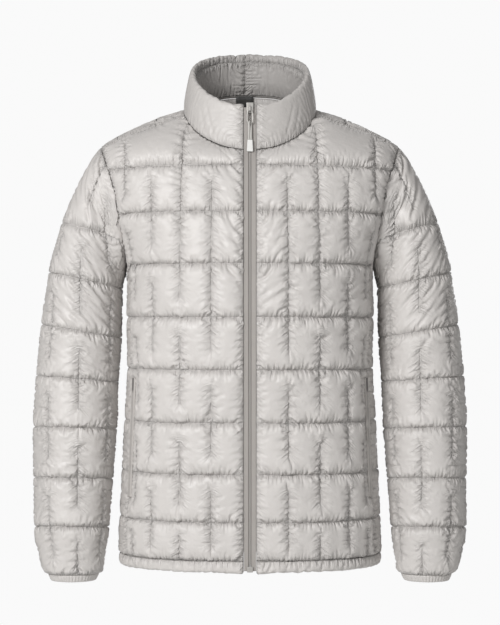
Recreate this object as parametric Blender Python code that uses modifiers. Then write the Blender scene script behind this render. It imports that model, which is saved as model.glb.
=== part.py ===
"""A quilted puffer jacket, zipped up and filled out as if worn, with nobody in it.

Every panel is a wall: a plain inner face, and an outer face that rises into quilted puffs between
its stitch lines. The panels meet along shared seam lines and stay SEAM_GAP apart there.
Frame: metres, +Z up, front towards -Y, wearer's left towards +X, origin where the wearer's
shoulders carry the jacket. Tables and sizes below are in millimetres.
"""

import bmesh
import bpy
import numpy as np
from mathutils.kdtree import KDTree

MM = 0.001

# ---- driving sizes -------------------------------------------------------------------------
SEAM_GAP = 0.4  # between two panels along a seam
SAME_POINT = 0.2  # edge points closer than this are one seam point
FOLD_AGREE = 0.5  # cosine between two panels' normals from which they share one at their seam
SHEET = 2.0  # thickness of both cloth layers where they are stitched flat
PUFF = 7.0  # how far a full puff rises over its stitch lines
SLEEVE_PUFF = 4.5
EDGE_RISE = 17.0  # distance over which a puff rises from a seam
COLUMN_PITCH = 45.0  # between two upright stitch lines
EDGE_COLUMN = 12.0  # the last of them stays this far from the panel's edge
ARM_SHARE = 0.62  # part of a row that an upright stitch reaches from its crossing
ARM_FADE = 0.2  # part of a row over which the crease of a stitch's end runs out
ZIP_HALF = 8.6  # from the centre line to the edge of a front panel
HEM_BOTTOM = -651.5
HEM_SEAM = -636.0
SIDE_TOP = -186.8  # where the side panel's seams run into the armhole
FRONT_ROUND = 2.3  # superellipse exponents of a body section, in front and behind
BACK_ROUND = 2.8

# Height of each level stitch line, from the hem seam up.
STITCH_LEVELS = [HEM_SEAM, -583.0, -517.0, -445.0, -371.0, -297.5, -223.2, -150.0, -84.0]
YOKE_LEVEL = STITCH_LEVELS[-1]
SIDE_LEVEL = STITCH_LEVELS[5]

# Body sections: height, half width, depth in front, depth behind.
BODY = np.array(
    [
        # z, half_width, front, back
        (-660.0, 184.5, 127.0, 117.5),
        (-651.5, 185.0, 128.0, 118.0),
        (-636.0, 186.5, 130.0, 119.5),
        (-583.0, 185.0, 132.5, 119.5),
        (-517.0, 182.0, 132.0, 117.0),
        (-445.0, 178.5, 133.0, 113.0),
        (-371.0, 174.5, 136.0, 111.5),
        (-297.5, 175.5, 139.5, 114.5),
        (-223.2, 177.0, 138.5, 122.0),
        (-186.8, 189.0, 134.5, 126.0),
        (-150.0, 204.5, 128.5, 128.0),
        (-117.0, 214.0, 119.5, 127.0),
        (-84.0, 219.5, 107.5, 123.5),
        (-50.0, 214.5, 92.0, 115.0),
    ]
).T

# Side seams: height, y of the front one, y of the back one.
SIDE_SEAMS = np.array(
    [
        (-660.0, -58.0, 47.0),
        (-517.0, -57.5, 47.0),
        (-371.0, -55.0, 48.0),
        (-297.5, -51.5, 51.0),
        (-223.2, -49.5, 56.5),
        (-186.8, -50.3, 59.6),
    ]
).T

# Neck seam: angle from the centre front in degrees, height. In plan it is a smooth oval.
NECK = np.array(
    [
        (0.0, -63.5),
        (20.0, -59.0),
        (37.0, -48.5),
        (54.0, -34.0),
        (78.0, -10.5),
        (95.0, 0.5),
        (112.0, 7.5),
        (135.0, 18.0),
        (160.0, 27.5),
        (180.0, 30.0),
    ]
).T
NECK_HALF, NECK_CENTRE, NECK_DEPTH = 94.5, -2.5, 92.5

# Collar's top edge, in the same way.
COLLAR_TOP = np.array(
    [
        (0.0, 4.2),
        (20.0, 7.5),
        (43.0, 21.0),
        (60.0, 35.0),
        (90.0, 60.0),
        (120.0, 78.0),
        (150.0, 88.0),
        (180.0, 91.0),
    ]
).T
COLLAR_HALF, COLLAR_CENTRE, COLLAR_DEPTH = 83.0, -5.0, 80.0
COLLAR_SHEETS = (2.0, 6.5, 8.5, 9.0, 9.0, 8.5, 5.0)  # thickness of its base from the seam up
COLLAR_PUFF = 3.0
COLLAR_BELLY = 1.5  # how far the stand swells over the straight line from seam to edge

# Shoulder strip: where its two seams leave the neck seam (degrees) and enter the armhole (degrees).
YOKE_NECK = (78.0, 112.0)
YOKE_ARM = (157.0, 204.0)
YOKE_SHARES = (0.0, 0.36, 0.705, 1.0)  # how far along the shoulder stitch columns 2 to 5 end

# Armhole: an oval seen from the side, laid on the body.
ARM_CENTRE_Y, ARM_CENTRE_Z = 3.0, -136.6
ARM_FRONT, ARM_BACK, ARM_HALF_HEIGHT = 66.0, 70.0, 85.1

# Sleeve rings at the level stitch lines 2 to 7 and the cuff seam:
# inner and outer point (x, z), centre y, half depth.
SLEEVE = np.array(
    [
        # x_in, z_in, x_out, z_out, y, half_depth
        (187.0, -256.0, 289.0, -232.5, 4.0, 66.0),
        (188.5, -327.0, 300.0, -308.0, 3.0, 65.0),
        (192.5, -391.0, 308.0, -382.5, -2.0, 62.5),
        (194.5, -458.5, 312.0, -455.5, -9.0, 60.0),
        (200.0, -529.5, 311.0, -528.5, -17.0, 56.0),
        (205.5, -600.5, 308.5, -600.0, -25.0, 51.5),
        (216.5, -664.0, 292.0, -664.0, -31.0, 37.0),
    ]
)
CUFF_END = (222.0, -674.5, 286.0, -674.5, -32.0, 32.0)
CUFF_SHEET, CUFF_PUFF, RIB = 3.0, 1.0, 1.2
SLEEVE_SPLIT = (4, 4, 4, 4, 4, 5, 5, 4)  # grid columns from one sleeve stitch line to the next
SLEEVE_START = -11.0  # degrees: the sleeve's first stitch line, next to the body
CAP_ROW = 73.5  # row height on the sleeve cap
CAP_SHARE = 0.85

# Zip: slider, hinge of its pull, pull, and the box at the lower end.
SLIDER_WIDTH, SLIDER_DEPTH, SLIDER_HEIGHT = 9.0, 3.0, 15.0
SLIDER_Z = -2.7
PIVOT_Z = -6.5  # height of the hinge that the pull hangs from
PIVOT_AHEAD = 1.6  # from the slider's face to the hinge
WIRE = 0.75  # radius of the link's wire
BRIDGE_WIRE, BRIDGE_RISE = 0.6, 4.5
LINK_HALF, LINK_LENGTH = 3.9, 19.0
CORD_RADIUS, CORD_SPREAD, CORD_END = 1.35, 2.5, 42.0
TIP_WIDTHS, TIP_LENGTH, TIP_DEPTH = (7.0, 8.8), 17.0, 3.0
BOX_WIDTH, BOX_DEPTH, BOX_HEIGHT = 8.4, 3.0, 8.0
REST_GAP = 0.3  # under a piece that lies on another

# Side pockets' zips and the blank label inside the neck.
POCKET_LOW, POCKET_HIGH, POCKET_HALF = -553.0, -384.0, 2.0
POCKET_LIFT, POCKET_SHEET = 2.7, 1.2
LABEL_CENTRE, LABEL_HALF = -8.0, 13.0
LABEL_SHARES = (0.87, 0.985)  # how far up the back's top zone it reaches
LABEL_LIFT, LABEL_SHEET = 1.7, 0.8

YOKE_PUFF = 5.0
SIDE_PUFF = 3.0
BAND_PUFF = 2.0  # hem band
HEM_DRAW = 0.992  # its lower edge's size against its upper edge's
ARM_SIDE_SHARE = 0.35  # part of a full puff left where the sleeve faces the body
ARM_SIDE_TURNS = (25.0, 75.0)  # degrees from there over which the puffs grow to their full height
ROOM_SHARE = 0.38  # part of the space between sleeve and body that each one's puffs may fill
NARROW = 100.0  # space that counts as one between sleeve and body
NARROW_REACH = 30.0  # how far from a sleeve point a body point still faces it
FAR = 1000.0  # space of a point that faces nothing

ROW_STEPS = 4  # grid rows to a quilted row of the body
SLEEVE_STEPS = 3  # and of the sleeve
COLUMN_STEPS = (3, 3, 4, 3, 3)  # grid columns from one stitch line of a front or back to the next
SIDE_STEPS = 8
FRONT_TOP_STEPS = 4
BACK_TOP_STEPS = 6
YOKE_STEPS = 4
BAND_STEPS = 2
COLLAR_STEPS = 6

# ---- curves --------------------------------------------------------------------------------


def smooth(xs, ys, at):
    """Curve through a table's points: cubics between them, each point's slope taken from its neighbours."""
    slopes = np.gradient(ys, xs)
    at = np.clip(at, xs[0], xs[-1])
    i = np.clip(np.searchsorted(xs, at, side="right") - 1, 0, len(xs) - 2)
    width = xs[i + 1] - xs[i]
    t = (at - xs[i]) / width
    return (
        (2 * t**3 - 3 * t**2 + 1) * ys[i]
        + (t**3 - 2 * t**2 + t) * width * slopes[i]
        + (3 * t**2 - 2 * t**3) * ys[i + 1]
        + (t**3 - t**2) * width * slopes[i + 1]
    )


def unit(vectors):
    return vectors / np.maximum(np.linalg.norm(vectors, axis=-1, keepdims=True), 1e-9)


def points(x, y, z):
    return np.stack(np.broadcast_arrays(x, y, z), axis=-1).astype(float)


def hermite(start, end, leave, arrive, t):
    """Cubic from start to end that leaves and arrives with the given directions."""
    return (
        (2 * t**3 - 3 * t**2 + 1) * start
        + (t**3 - 2 * t**2 + t) * leave
        + (3 * t**2 - 2 * t**3) * end
        + (t**3 - t**2) * arrive
    )


def along(curve, lengths):
    """Points of a polyline at the given lengths from its start."""
    steps = np.linalg.norm(np.diff(curve, axis=0), axis=1)
    run = np.concatenate([[0.0], np.cumsum(steps)])
    return np.stack([np.interp(lengths, run, curve[:, k]) for k in range(3)], axis=-1)


def length_of(curve):
    return np.linalg.norm(np.diff(curve, axis=0), axis=1).sum()


def spread(stops, steps):
    """Values from each stop to the next in the given numbers of even steps."""
    runs = [np.linspace(a, b, n + 1)[:-1] for a, b, n in zip(stops, stops[1:], steps)]
    return np.concatenate([*runs, [stops[-1]]])


# ---- the body ------------------------------------------------------------------------------


def body_x(y, z):
    """Half width of the body at depth y and height z: one quarter superellipse in front, another behind."""
    half = smooth(BODY[0], BODY[1], z)
    depth = np.where(y < 0, smooth(BODY[0], BODY[2], z), smooth(BODY[0], BODY[3], z))
    power = np.where(y < 0, FRONT_ROUND, BACK_ROUND)
    return half * (1 - np.clip(np.abs(y) / depth, 0, 1) ** power) ** (1 / power)


def armhole(degrees):
    """Point of the armhole: 0 under the arm, 90 in front, 180 on the shoulder, 270 behind."""
    a = np.radians(degrees)
    half = np.where(np.sin(a) > 0, ARM_FRONT, ARM_BACK)
    y = ARM_CENTRE_Y - half * np.sin(a)
    z = ARM_CENTRE_Z - ARM_HALF_HEIGHT * np.cos(a)
    return points(body_x(y, z), y, z)


def armhole_degrees(z):
    """Where on the front half of the armhole a height lies."""
    return np.degrees(np.arccos(np.clip((ARM_CENTRE_Z - z) / ARM_HALF_HEIGHT, -1, 1)))


def seam_y(z, behind):
    """y of the side seam, or of the armhole above it."""
    on_seam = smooth(SIDE_SEAMS[0], SIDE_SEAMS[2 if behind else 1], z)
    degrees = armhole_degrees(z)
    on_hole = armhole(360 - degrees if behind else degrees)[..., 1]
    return np.where(z <= SIDE_TOP, on_seam, on_hole)


def section(z, behind):
    """Level curve of the body's front or back at height z, from the centre to the side seam or armhole."""
    depth = smooth(BODY[0], BODY[3 if behind else 2], z)
    power = BACK_ROUND if behind else FRONT_ROUND
    edge = abs(float(seam_y(np.array(z), behind)))
    turn = np.linspace(0, np.arccos((edge / depth) ** (power / 2)), 400)
    y = depth * np.cos(turn) ** (2 / power)
    half = smooth(BODY[0], BODY[1], z)
    x = half * np.sin(turn) ** (2 / power)
    return points(x, y if behind else -y, z)


def panel_row(z, columns, behind):
    """Points of a front or back panel at height z. Whole column numbers are stitch lines, 5 is the edge."""
    curve = section(z, behind)
    total = length_of(curve)
    start = 0.0 if behind else ZIP_HALF
    lines = start + COLUMN_PITCH * np.arange(5)
    lines[4] = min(lines[4], total - EDGE_COLUMN)
    return along(curve, np.interp(columns, np.arange(6), [*lines, total]))


def neck(degrees):
    a = np.radians(degrees)
    return points(NECK_HALF * np.sin(a), NECK_CENTRE - NECK_DEPTH * np.cos(a), smooth(*NECK, degrees))


def shoulder_line(share, behind):
    """The shoulder strip's front or back seam, from the neck to the armhole, a little arched."""
    start = neck(np.array(YOKE_NECK[behind]))
    end = armhole(np.array(YOKE_ARM[behind]))
    share = np.asarray(share, float)[..., None]
    arch = points(0.0, 0.0, 4.0) * 4 * share * (1 - share)
    return start + (end - start) * share + arch


def top_edge(columns, behind):
    """Upper edge of a front or back panel: the neck seam up to column 2, then the shoulder seam."""
    columns = np.asarray(columns, float)
    if behind:
        degrees = np.interp(columns, [0, 1, 2], [180.0, 151.5, YOKE_NECK[1]])
    else:
        at_zip = np.degrees(np.arcsin(ZIP_HALF / NECK_HALF))
        degrees = np.interp(columns, [0, 1, 2], [at_zip, 35.0, YOKE_NECK[0]])
    share = np.interp(columns, [2, 3, 4, 5], YOKE_SHARES)
    return np.where((columns <= 2)[:, None], neck(degrees), shoulder_line(share, behind))


def shoulder_slope(columns, behind):
    """Direction, towards the crest, in which a panel meets its upper edge."""
    over = np.clip((np.asarray(columns) - 1.2) / 1.2, 0, 1)[:, None]
    if behind:
        return unit((1 - over) * points(0.0, -0.42, 0.9) + over * points(0.0, -0.86, 0.5))
    return unit((1 - over) * points(0.0, 0.53, 0.85) + over * points(0.0, 0.82, 0.57))


def top_zone(columns, shares, behind):
    """Panel above the highest level stitch: cubics up to its upper edge, the last column on the armhole."""
    low = panel_row(YOKE_LEVEL, columns, behind)
    below = panel_row(YOKE_LEVEL - 6.0, columns, behind)
    high = top_edge(columns, behind)
    reach = np.linalg.norm(high - low, axis=-1, keepdims=True)
    leave = unit(low - below) * reach
    arrive = shoulder_slope(columns, behind) * reach
    t = np.asarray(shares)[:, None, None]
    zone = hermite(low, high, leave, arrive, t)
    first = float(armhole_degrees(np.array(YOKE_LEVEL)))
    last = YOKE_ARM[behind]
    first = 360 - first if behind else first
    edge = armhole(first + (last - first) * np.asarray(shares))
    pull = np.clip((np.asarray(columns) - 2.5) / 2.5, 0, 1) ** 2
    return zone + pull[None, :, None] * (edge - zone[:, -1])[:, None]


def body_panel(columns, behind, top_steps):
    """Grid of a half front or half back, from the hem seam up to the neck and shoulder."""
    heights = spread(STITCH_LEVELS, [ROW_STEPS] * (len(STITCH_LEVELS) - 1))
    rows = np.stack([panel_row(z, columns, behind) for z in heights])
    shares = np.linspace(0, 1, top_steps + 1)[1:]
    return np.concatenate([rows, top_zone(columns, shares, behind)])


def side_panel(columns):
    """Grid of the side panel, whose upper edge is the lower part of the armhole."""
    heights = spread(STITCH_LEVELS, [ROW_STEPS] * (len(STITCH_LEVELS) - 1))
    heights = heights[heights <= SIDE_TOP + 1.0]
    rows = []
    for z in heights[heights <= SIDE_LEVEL]:
        edges = [float(seam_y(np.array(z), behind)) for behind in (False, True)]
        y = np.linspace(*edges, 120)
        curve = points(body_x(y, z), y, z)
        rows.append(along(curve, columns / 2 * length_of(curve)))
    front_end = float(armhole_degrees(np.array(SIDE_TOP)))
    rim = armhole(np.interp(columns, [0, 2], [front_end, -front_end]))
    low = rows[-1]
    for share in (heights[heights > SIDE_LEVEL] - SIDE_LEVEL) / (heights[-1] - SIDE_LEVEL):
        _, y, z = (low + (rim - low) * share).T
        rows.append(points(body_x(y, z), y, z))
    return np.stack(rows)


def yoke_panel(columns):
    """Grid of the shoulder strip: grid rows run from its front seam over the crest to its back seam."""
    front, back = top_edge(columns, False), top_edge(columns, True)
    reach = np.linalg.norm(back - front, axis=-1, keepdims=True)
    leave = shoulder_slope(columns, False) * reach
    arrive = -shoulder_slope(columns, True) * reach
    t = np.linspace(0, 1, YOKE_STEPS + 1)
    strip = hermite(front, back, leave, arrive, t[:, None, None])
    for at, end, pull in (
        (0, neck(np.interp(t, [0, 1], YOKE_NECK)), np.clip((4 - columns) / 2, 0, 1)),
        (-1, armhole(np.interp(t, [0, 1], YOKE_ARM)), np.clip((columns - 3) / 2, 0, 1)),
    ):
        strip = strip + pull[None, :, None] ** 2 * (end - strip[:, at])[:, None]
    return strip


# ---- the sleeve ----------------------------------------------------------------------------


def ring(row, turns):
    """Ring of the sleeve between its inner and outer point. turns are degrees from the inner side forward."""
    x_in, z_in, x_out, z_out, y, half_depth = row
    a = np.radians(turns)
    side = (1 - np.cos(a)) / 2
    return points(x_in + (x_out - x_in) * side, y - half_depth * np.sin(a), z_in + (z_out - z_in) * side)


def even_turns(row, shares):
    """Degrees at even lengths round a ring, from SLEEVE_START."""
    turns = SLEEVE_START + np.linspace(0, 360, 721)
    run = np.concatenate([[0.0], np.cumsum(np.linalg.norm(np.diff(ring(row, turns), axis=0), axis=1))])
    return np.interp(shares * run[-1], run, turns)


def sleeve_shares():
    """Share of the way round for each grid column: an eighth from one stitch line to the next."""
    return spread(np.linspace(0, 1, 9), SLEEVE_SPLIT)[:-1]


def sleeve_armhole(front, yoke, back, side):
    """The armhole as the body's own grid points, once round from under the arm."""
    middle = side.shape[1] // 2
    start = ROW_STEPS * 6 + 2
    return np.concatenate(
        [
            side[-1, middle:0:-1],
            front[start:, -1],
            yoke[1:, -1],
            back[-2:start:-1, -1],
            side[-1, :middle:-1],
        ]
    )


def cap_shares(reach):
    """Grid rows from the first ring up to the armhole: a quilted row, then the rest of the cap."""
    row = np.minimum(CAP_ROW, CAP_SHARE * reach) / reach
    low = row[None] * np.linspace(0, 1, SLEEVE_STEPS + 1)[:, None]
    high = row[None] + (1 - row[None]) * np.linspace(0, 1, SLEEVE_STEPS + 1)[1:, None]
    return np.concatenate([low, high])


def sleeve_grid(hole):
    """Grid of the sleeve from the cuff seam up to the armhole."""
    shares = sleeve_shares()
    rings = np.stack([ring(row, even_turns(row, shares)) for row in SLEEVE])
    knots = np.concatenate([[0.0], np.cumsum(np.linalg.norm(np.diff(rings.mean(1), axis=0), axis=1))])
    at = spread(knots, [SLEEVE_STEPS] * (len(knots) - 1))
    tube = np.stack([smooth(knots, rings[:, j, k], at) for j in range(len(shares)) for k in range(3)])
    tube = tube.reshape(len(shares), 3, -1).transpose(2, 0, 1)
    first = tube[0]
    up = unit(first - tube[1])
    reach = np.linalg.norm(hole - first, axis=-1, keepdims=True)
    turn = np.radians(even_turns(SLEEVE[0], shares))[:, None]
    top = (1 - np.cos(turn)) / 2
    arrive = unit(points(-0.3, 0.0, 0.9)[None] * (1 - top) + points(-0.6, 0.0, 0.8)[None] * top)
    arrive = unit(arrive + points(0.0, 0.16, 0.0)[None] * np.sin(turn))
    t = cap_shares(reach[:, 0])[1:, :, None]
    cap = hermite(first, hole, up * reach, arrive * reach, t)
    return np.concatenate([tube[::-1], cap])


# ---- puffs ---------------------------------------------------------------------------------


def dome(share):
    """Height of a puff at a share of the way from its edge to its middle: a quarter circle."""
    share = np.clip(share, 0, 1)
    return np.sqrt(1 - (1 - share) ** 2)


def stitch_dip(rows, columns, lines, parity):
    """How far upright stitches press a puff down, 0 to 1.

    A stitch crosses every second level line, by turns in neighbouring columns.
    """
    dip = np.zeros(np.broadcast(rows, columns).shape)
    for line in lines:
        near_level = np.round((rows - (line + parity) % 2) / 2) * 2 + (line + parity) % 2
        past_end = np.abs(rows - near_level) - ARM_SHARE
        reach = 1 - np.clip(past_end / ARM_FADE, 0, 1)
        dip = np.maximum(dip, reach * (1 - dome(np.abs(columns - line) * 2)))
    return dip


def quilt(puff, rows, columns, lines, edges, parity=0):
    """Height of the quilted face over its stitches.

    rows and columns count stitch lines, and edges is the distance to the panel's seams.
    """
    to_level = np.abs(rows - np.round(rows)) * 2
    pressed = 1 - stitch_dip(rows, columns, lines, parity)
    return puff * dome(to_level) * pressed * dome(edges / EDGE_RISE)


def edge_distance(grid, closed=False):
    """Distance of each grid point to the panel's nearest edge, along the grid lines."""
    rows = np.linalg.norm(np.diff(grid, axis=0), axis=-1)
    up = np.concatenate([np.zeros((1, grid.shape[1])), np.cumsum(rows, axis=0)])
    nearest = np.minimum(up, up[-1] - up)
    if closed:
        return nearest
    steps = np.linalg.norm(np.diff(grid, axis=1), axis=-1)
    across = np.concatenate([np.zeros((grid.shape[0], 1)), np.cumsum(steps, axis=1)], axis=1)
    return np.minimum(nearest, np.minimum(across, across[:, -1:] - across))


# ---- seams ---------------------------------------------------------------------------------


def normals(grid, closed=False):
    """Outward unit normals of a grid whose rows run up and whose columns run anticlockwise from above."""
    wide = np.concatenate([grid[:, -1:], grid, grid[:, :1]], axis=1) if closed else grid
    across = np.gradient(wide, axis=1)
    upward = np.gradient(wide, axis=0)
    found = unit(np.cross(across, upward))
    return found[:, 1:-1] if closed else found


def into_panel(edge, inner, closed):
    """Unit directions from an edge into its panel, square to the edge."""
    wide = np.concatenate([edge[-1:], edge, edge[:1]]) if closed else edge
    run = unit(np.gradient(wide, axis=0))
    run = run[1:-1] if closed else run
    inward = inner - edge
    return unit(inward - (inward * run).sum(-1, keepdims=True) * run)


def edges_of(grid, closed):
    """Each edge of a grid as an index, with its directions into the panel."""
    everything = slice(None)
    edges = [((0, everything), into_panel(grid[0], grid[1], closed))]
    edges.append(((-1, everything), into_panel(grid[-1], grid[-2], closed)))
    if not closed:
        edges.append(((everything, 0), into_panel(grid[:, 0], grid[:, 1], False)))
        edges.append(((everything, -1), into_panel(grid[:, -1], grid[:, -2], False)))
    return edges


class Panel:
    """A piece of cloth as a grid: its place, its outward normals and how far its outer face rises."""

    def __init__(self, grid, heights, closed=False):
        self.grid = grid
        self.heights = heights
        self.closed = closed
        self.normals = normals(grid, closed)
        self.edges = edges_of(grid, closed)
        self.shift = np.zeros_like(grid)

    def inward(self):
        total = np.zeros_like(self.grid)
        for index, direction in self.edges:
            total[index] += direction
        return total

    def faces(self, sheet, edge_sheet=SHEET):
        """Outer and inner points. Seamed edges have the thickness of their neighbours."""
        seam_line = self.grid + self.shift
        outer = seam_line + self.heights[..., None] * self.normals
        seamed = np.linalg.norm(self.shift, axis=-1) > 0
        return outer, seam_line - np.where(seamed, edge_sheet, sheet)[..., None] * self.normals


def settle_seams(panels, mirrored):
    """Parts panels by SEAM_GAP where their edge points coincide, and gives both the same normal there.

    Each edge point moves square to the seam, away from its neighbours. Where two outer faces look at
    each other across a fold, each keeps its own normal.
    """
    places, inwards, facings, owners = [], [], [], []
    for number, panel in enumerate(panels):
        inward = panel.inward()
        on_edge = np.linalg.norm(inward, axis=-1) > 0
        for side in (1, -1) if panel in mirrored else (1,):
            flip = np.array((side, 1, 1))
            places.append(panel.grid[on_edge] * flip)
            inwards.append(unit(inward[on_edge]) * flip)
            facings.append(panel.normals[on_edge] * flip)
            owners.append(np.full(on_edge.sum(), number * side if side > 0 else -number - 1))
    places, inwards, facings = (np.concatenate(part) for part in (places, inwards, facings))
    owners = np.concatenate(owners)
    tree = KDTree(len(places))
    for number, place in enumerate(places):
        tree.insert(place, number)
    tree.balance()

    def neighbours(place, owner):
        found = [number for _, number, _ in tree.find_range(place, SAME_POINT)]
        return [number for number in found if owners[number] != owner]

    for owner, panel in enumerate(panels):
        joint_normals = panel.normals.copy()
        for index, direction in panel.edges:
            edge = panel.grid[index]
            own = panel.normals[index]
            apart = np.zeros_like(edge)
            shared = own.copy()
            for k, place in enumerate(edge):
                others = neighbours(place, owner)
                if others:
                    apart[k] = unit(direction[k] - inwards[others].mean(0))
                    facing = facings[others].sum(0)
                    agree = np.clip((own[k] @ unit(facing)) / FOLD_AGREE, 0, 1)
                    shared[k] = unit(own[k] + agree * facing)
            if not panel.closed:
                for end, inner in ((0, 1), (-1, -2)):
                    apart[end] = apart[inner]
            panel.shift[index] += apart * SEAM_GAP / 2
            joint_normals[index] = shared
        panel.normals = joint_normals


# ---- walls ---------------------------------------------------------------------------------


def rim_faces(outer, inner):
    """Faces between an edge of the fine outer grid and the same edge of the coarse inner grid."""
    faces = []
    for k in range(len(inner) - 1):
        a, b, c = outer[2 * k : 2 * k + 3]
        p, q = inner[k], inner[k + 1]
        faces += [(a, p, b), (b, p, q), (b, q, c)]
    return faces


def grid_faces(index):
    quads = np.stack([index[:-1, :-1], index[:-1, 1:], index[1:, 1:], index[1:, :-1]], axis=-1)
    return quads.reshape(-1, 4).tolist()


def wall(name, outer, inner, material, closed=False, side=1):
    """Closed wall between an outer grid and an inner one with half as many rows and columns."""
    inner = inner[::2, ::2]
    outside = np.arange(outer[..., 0].size).reshape(outer.shape[:2])
    inside = outside.size + np.arange(inner[..., 0].size).reshape(inner.shape[:2])
    if closed:
        outside = np.concatenate([outside, outside[:, :1]], axis=1)
        inside = np.concatenate([inside, inside[:, :1]], axis=1)
    faces = grid_faces(outside) + [face[::-1] for face in grid_faces(inside)]
    faces += rim_faces(outside[0], inside[0])
    faces += rim_faces(outside[-1, ::-1], inside[-1, ::-1])
    if not closed:
        faces += rim_faces(outside[::-1, 0], inside[::-1, 0])
        faces += rim_faces(outside[:, -1], inside[:, -1])
    if side < 0:
        faces = [face[::-1] for face in faces]
    places = np.concatenate([outer.reshape(-1, 3), inner.reshape(-1, 3)]) * MM * (side, 1, 1)
    mesh = bpy.data.meshes.new(name)
    mesh.from_pydata(places.tolist(), [], faces)
    mesh.shade_smooth()
    return add(name, mesh, material)


def add(name, mesh, material):
    piece = bpy.data.objects.new(name, mesh)
    mesh.materials.clear()
    mesh.materials.append(material)
    JACKET.objects.link(piece)
    return piece


def principled(name, colour, roughness, metallic=0.0):
    material = bpy.data.materials.new(name)
    material.use_nodes = True
    shader = material.node_tree.nodes["Principled BSDF"]
    shader.inputs["Base Color"].default_value = (*colour, 1.0)
    shader.inputs["Roughness"].default_value = roughness
    shader.inputs["Metallic"].default_value = metallic
    return material


# ---- panels --------------------------------------------------------------------------------


def room_between(sleeve, body_points):
    """Space along X between the sleeve's inner side and the body, at sleeve points and at body points."""
    x, y, z = sleeve.reshape(-1, 3).T
    depth = np.where(y < 0, np.interp(z, BODY[0], BODY[2]), np.interp(z, BODY[0], BODY[3]))
    beside = (np.abs(y) < 0.9 * depth) & (z < ARM_CENTRE_Z)
    room = np.where(beside, x - body_x(y * beside, z), FAR)
    near = room < NARROW
    sleeve_side = np.stack([y[near], z[near]], axis=-1)
    apart = np.linalg.norm(body_points.reshape(-1, 1, 3)[..., 1:] - sleeve_side, axis=-1)
    closest = np.argsort(apart, axis=1)[:, :3]
    weight = 1 / (np.take_along_axis(apart, closest, 1) + 0.5) ** 2
    body_room = (room[near][closest] * weight).sum(1) / weight.sum(1)
    body_room = np.where(apart.min(1) < NARROW_REACH, body_room, FAR)
    return room.reshape(sleeve.shape[:2]), body_room.reshape(body_points.shape[:2])


def collar_panel(neck_edge):
    """Grid of the collar from the neck seam up to its top edge, with a belly between the two."""
    across = np.arctan2(neck_edge[:, 0] / NECK_HALF, (NECK_CENTRE - neck_edge[:, 1]) / NECK_DEPTH)
    first_low, first_high = np.arcsin(ZIP_HALF / NECK_HALF), np.arcsin(ZIP_HALF / COLLAR_HALF)
    turn = first_high + (np.abs(across) - first_low) * (np.pi - first_high) / (np.pi - first_low)
    high = points(
        COLLAR_HALF * np.sin(turn) * np.sign(np.sin(across) + 1e-9),
        COLLAR_CENTRE - COLLAR_DEPTH * np.cos(turn),
        smooth(*COLLAR_TOP, np.degrees(turn)),
    )
    t = np.linspace(0, 1, COLLAR_STEPS + 1)[:, None, None]
    out = unit(points(np.sin(across), -np.cos(across), 0.0))
    return neck_edge + (high - neck_edge) * t + out * COLLAR_BELLY * 4 * t * (1 - t)


def hem_panel(body_edge):
    """Grid of the hem band, which drops from the body's lower edge and draws in a little."""
    t = np.linspace(0, 1, BAND_STEPS + 1)[:, None, None]
    low = body_edge.copy()
    low[:, 2] = HEM_BOTTOM
    beside_zip = np.clip((np.abs(low[:, 0]) - ZIP_HALF) / COLUMN_PITCH, 0, 1)
    low[:, 0] *= 1 + (HEM_DRAW - 1) * beside_zip
    low[:, 1] *= HEM_DRAW
    return low + (body_edge - low) * t


def cuff_panel(sleeve_edge, shares):
    low = ring(CUFF_END, even_turns(CUFF_END, shares))
    t = np.linspace(0, 1, BAND_STEPS + 1)[:, None, None]
    return low + (sleeve_edge - low) * t


def ribbed(outer):
    """Twice as many columns round a closed grid, every second one raised into a rib of gathered cloth."""
    following = np.roll(outer, -1, axis=1)
    between = (outer + following) / 2
    facing = normals(outer, closed=True)
    lift = np.array((0.5, 1.0, 0.0))[:, None, None] * RIB
    fine = np.stack([outer, between + facing * lift], axis=2)
    return fine.reshape(outer.shape[0], -1, 3)


def tape_panel(outer_edge):
    """Grid of a zip tape, from the centre line to the edges that it is sewn to."""
    share = np.linspace(0, 1, 3)[None, :, None]
    grid = np.repeat(outer_edge[:, None], 3, axis=1)
    grid[..., 0] *= share[..., 0]
    return grid


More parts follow.
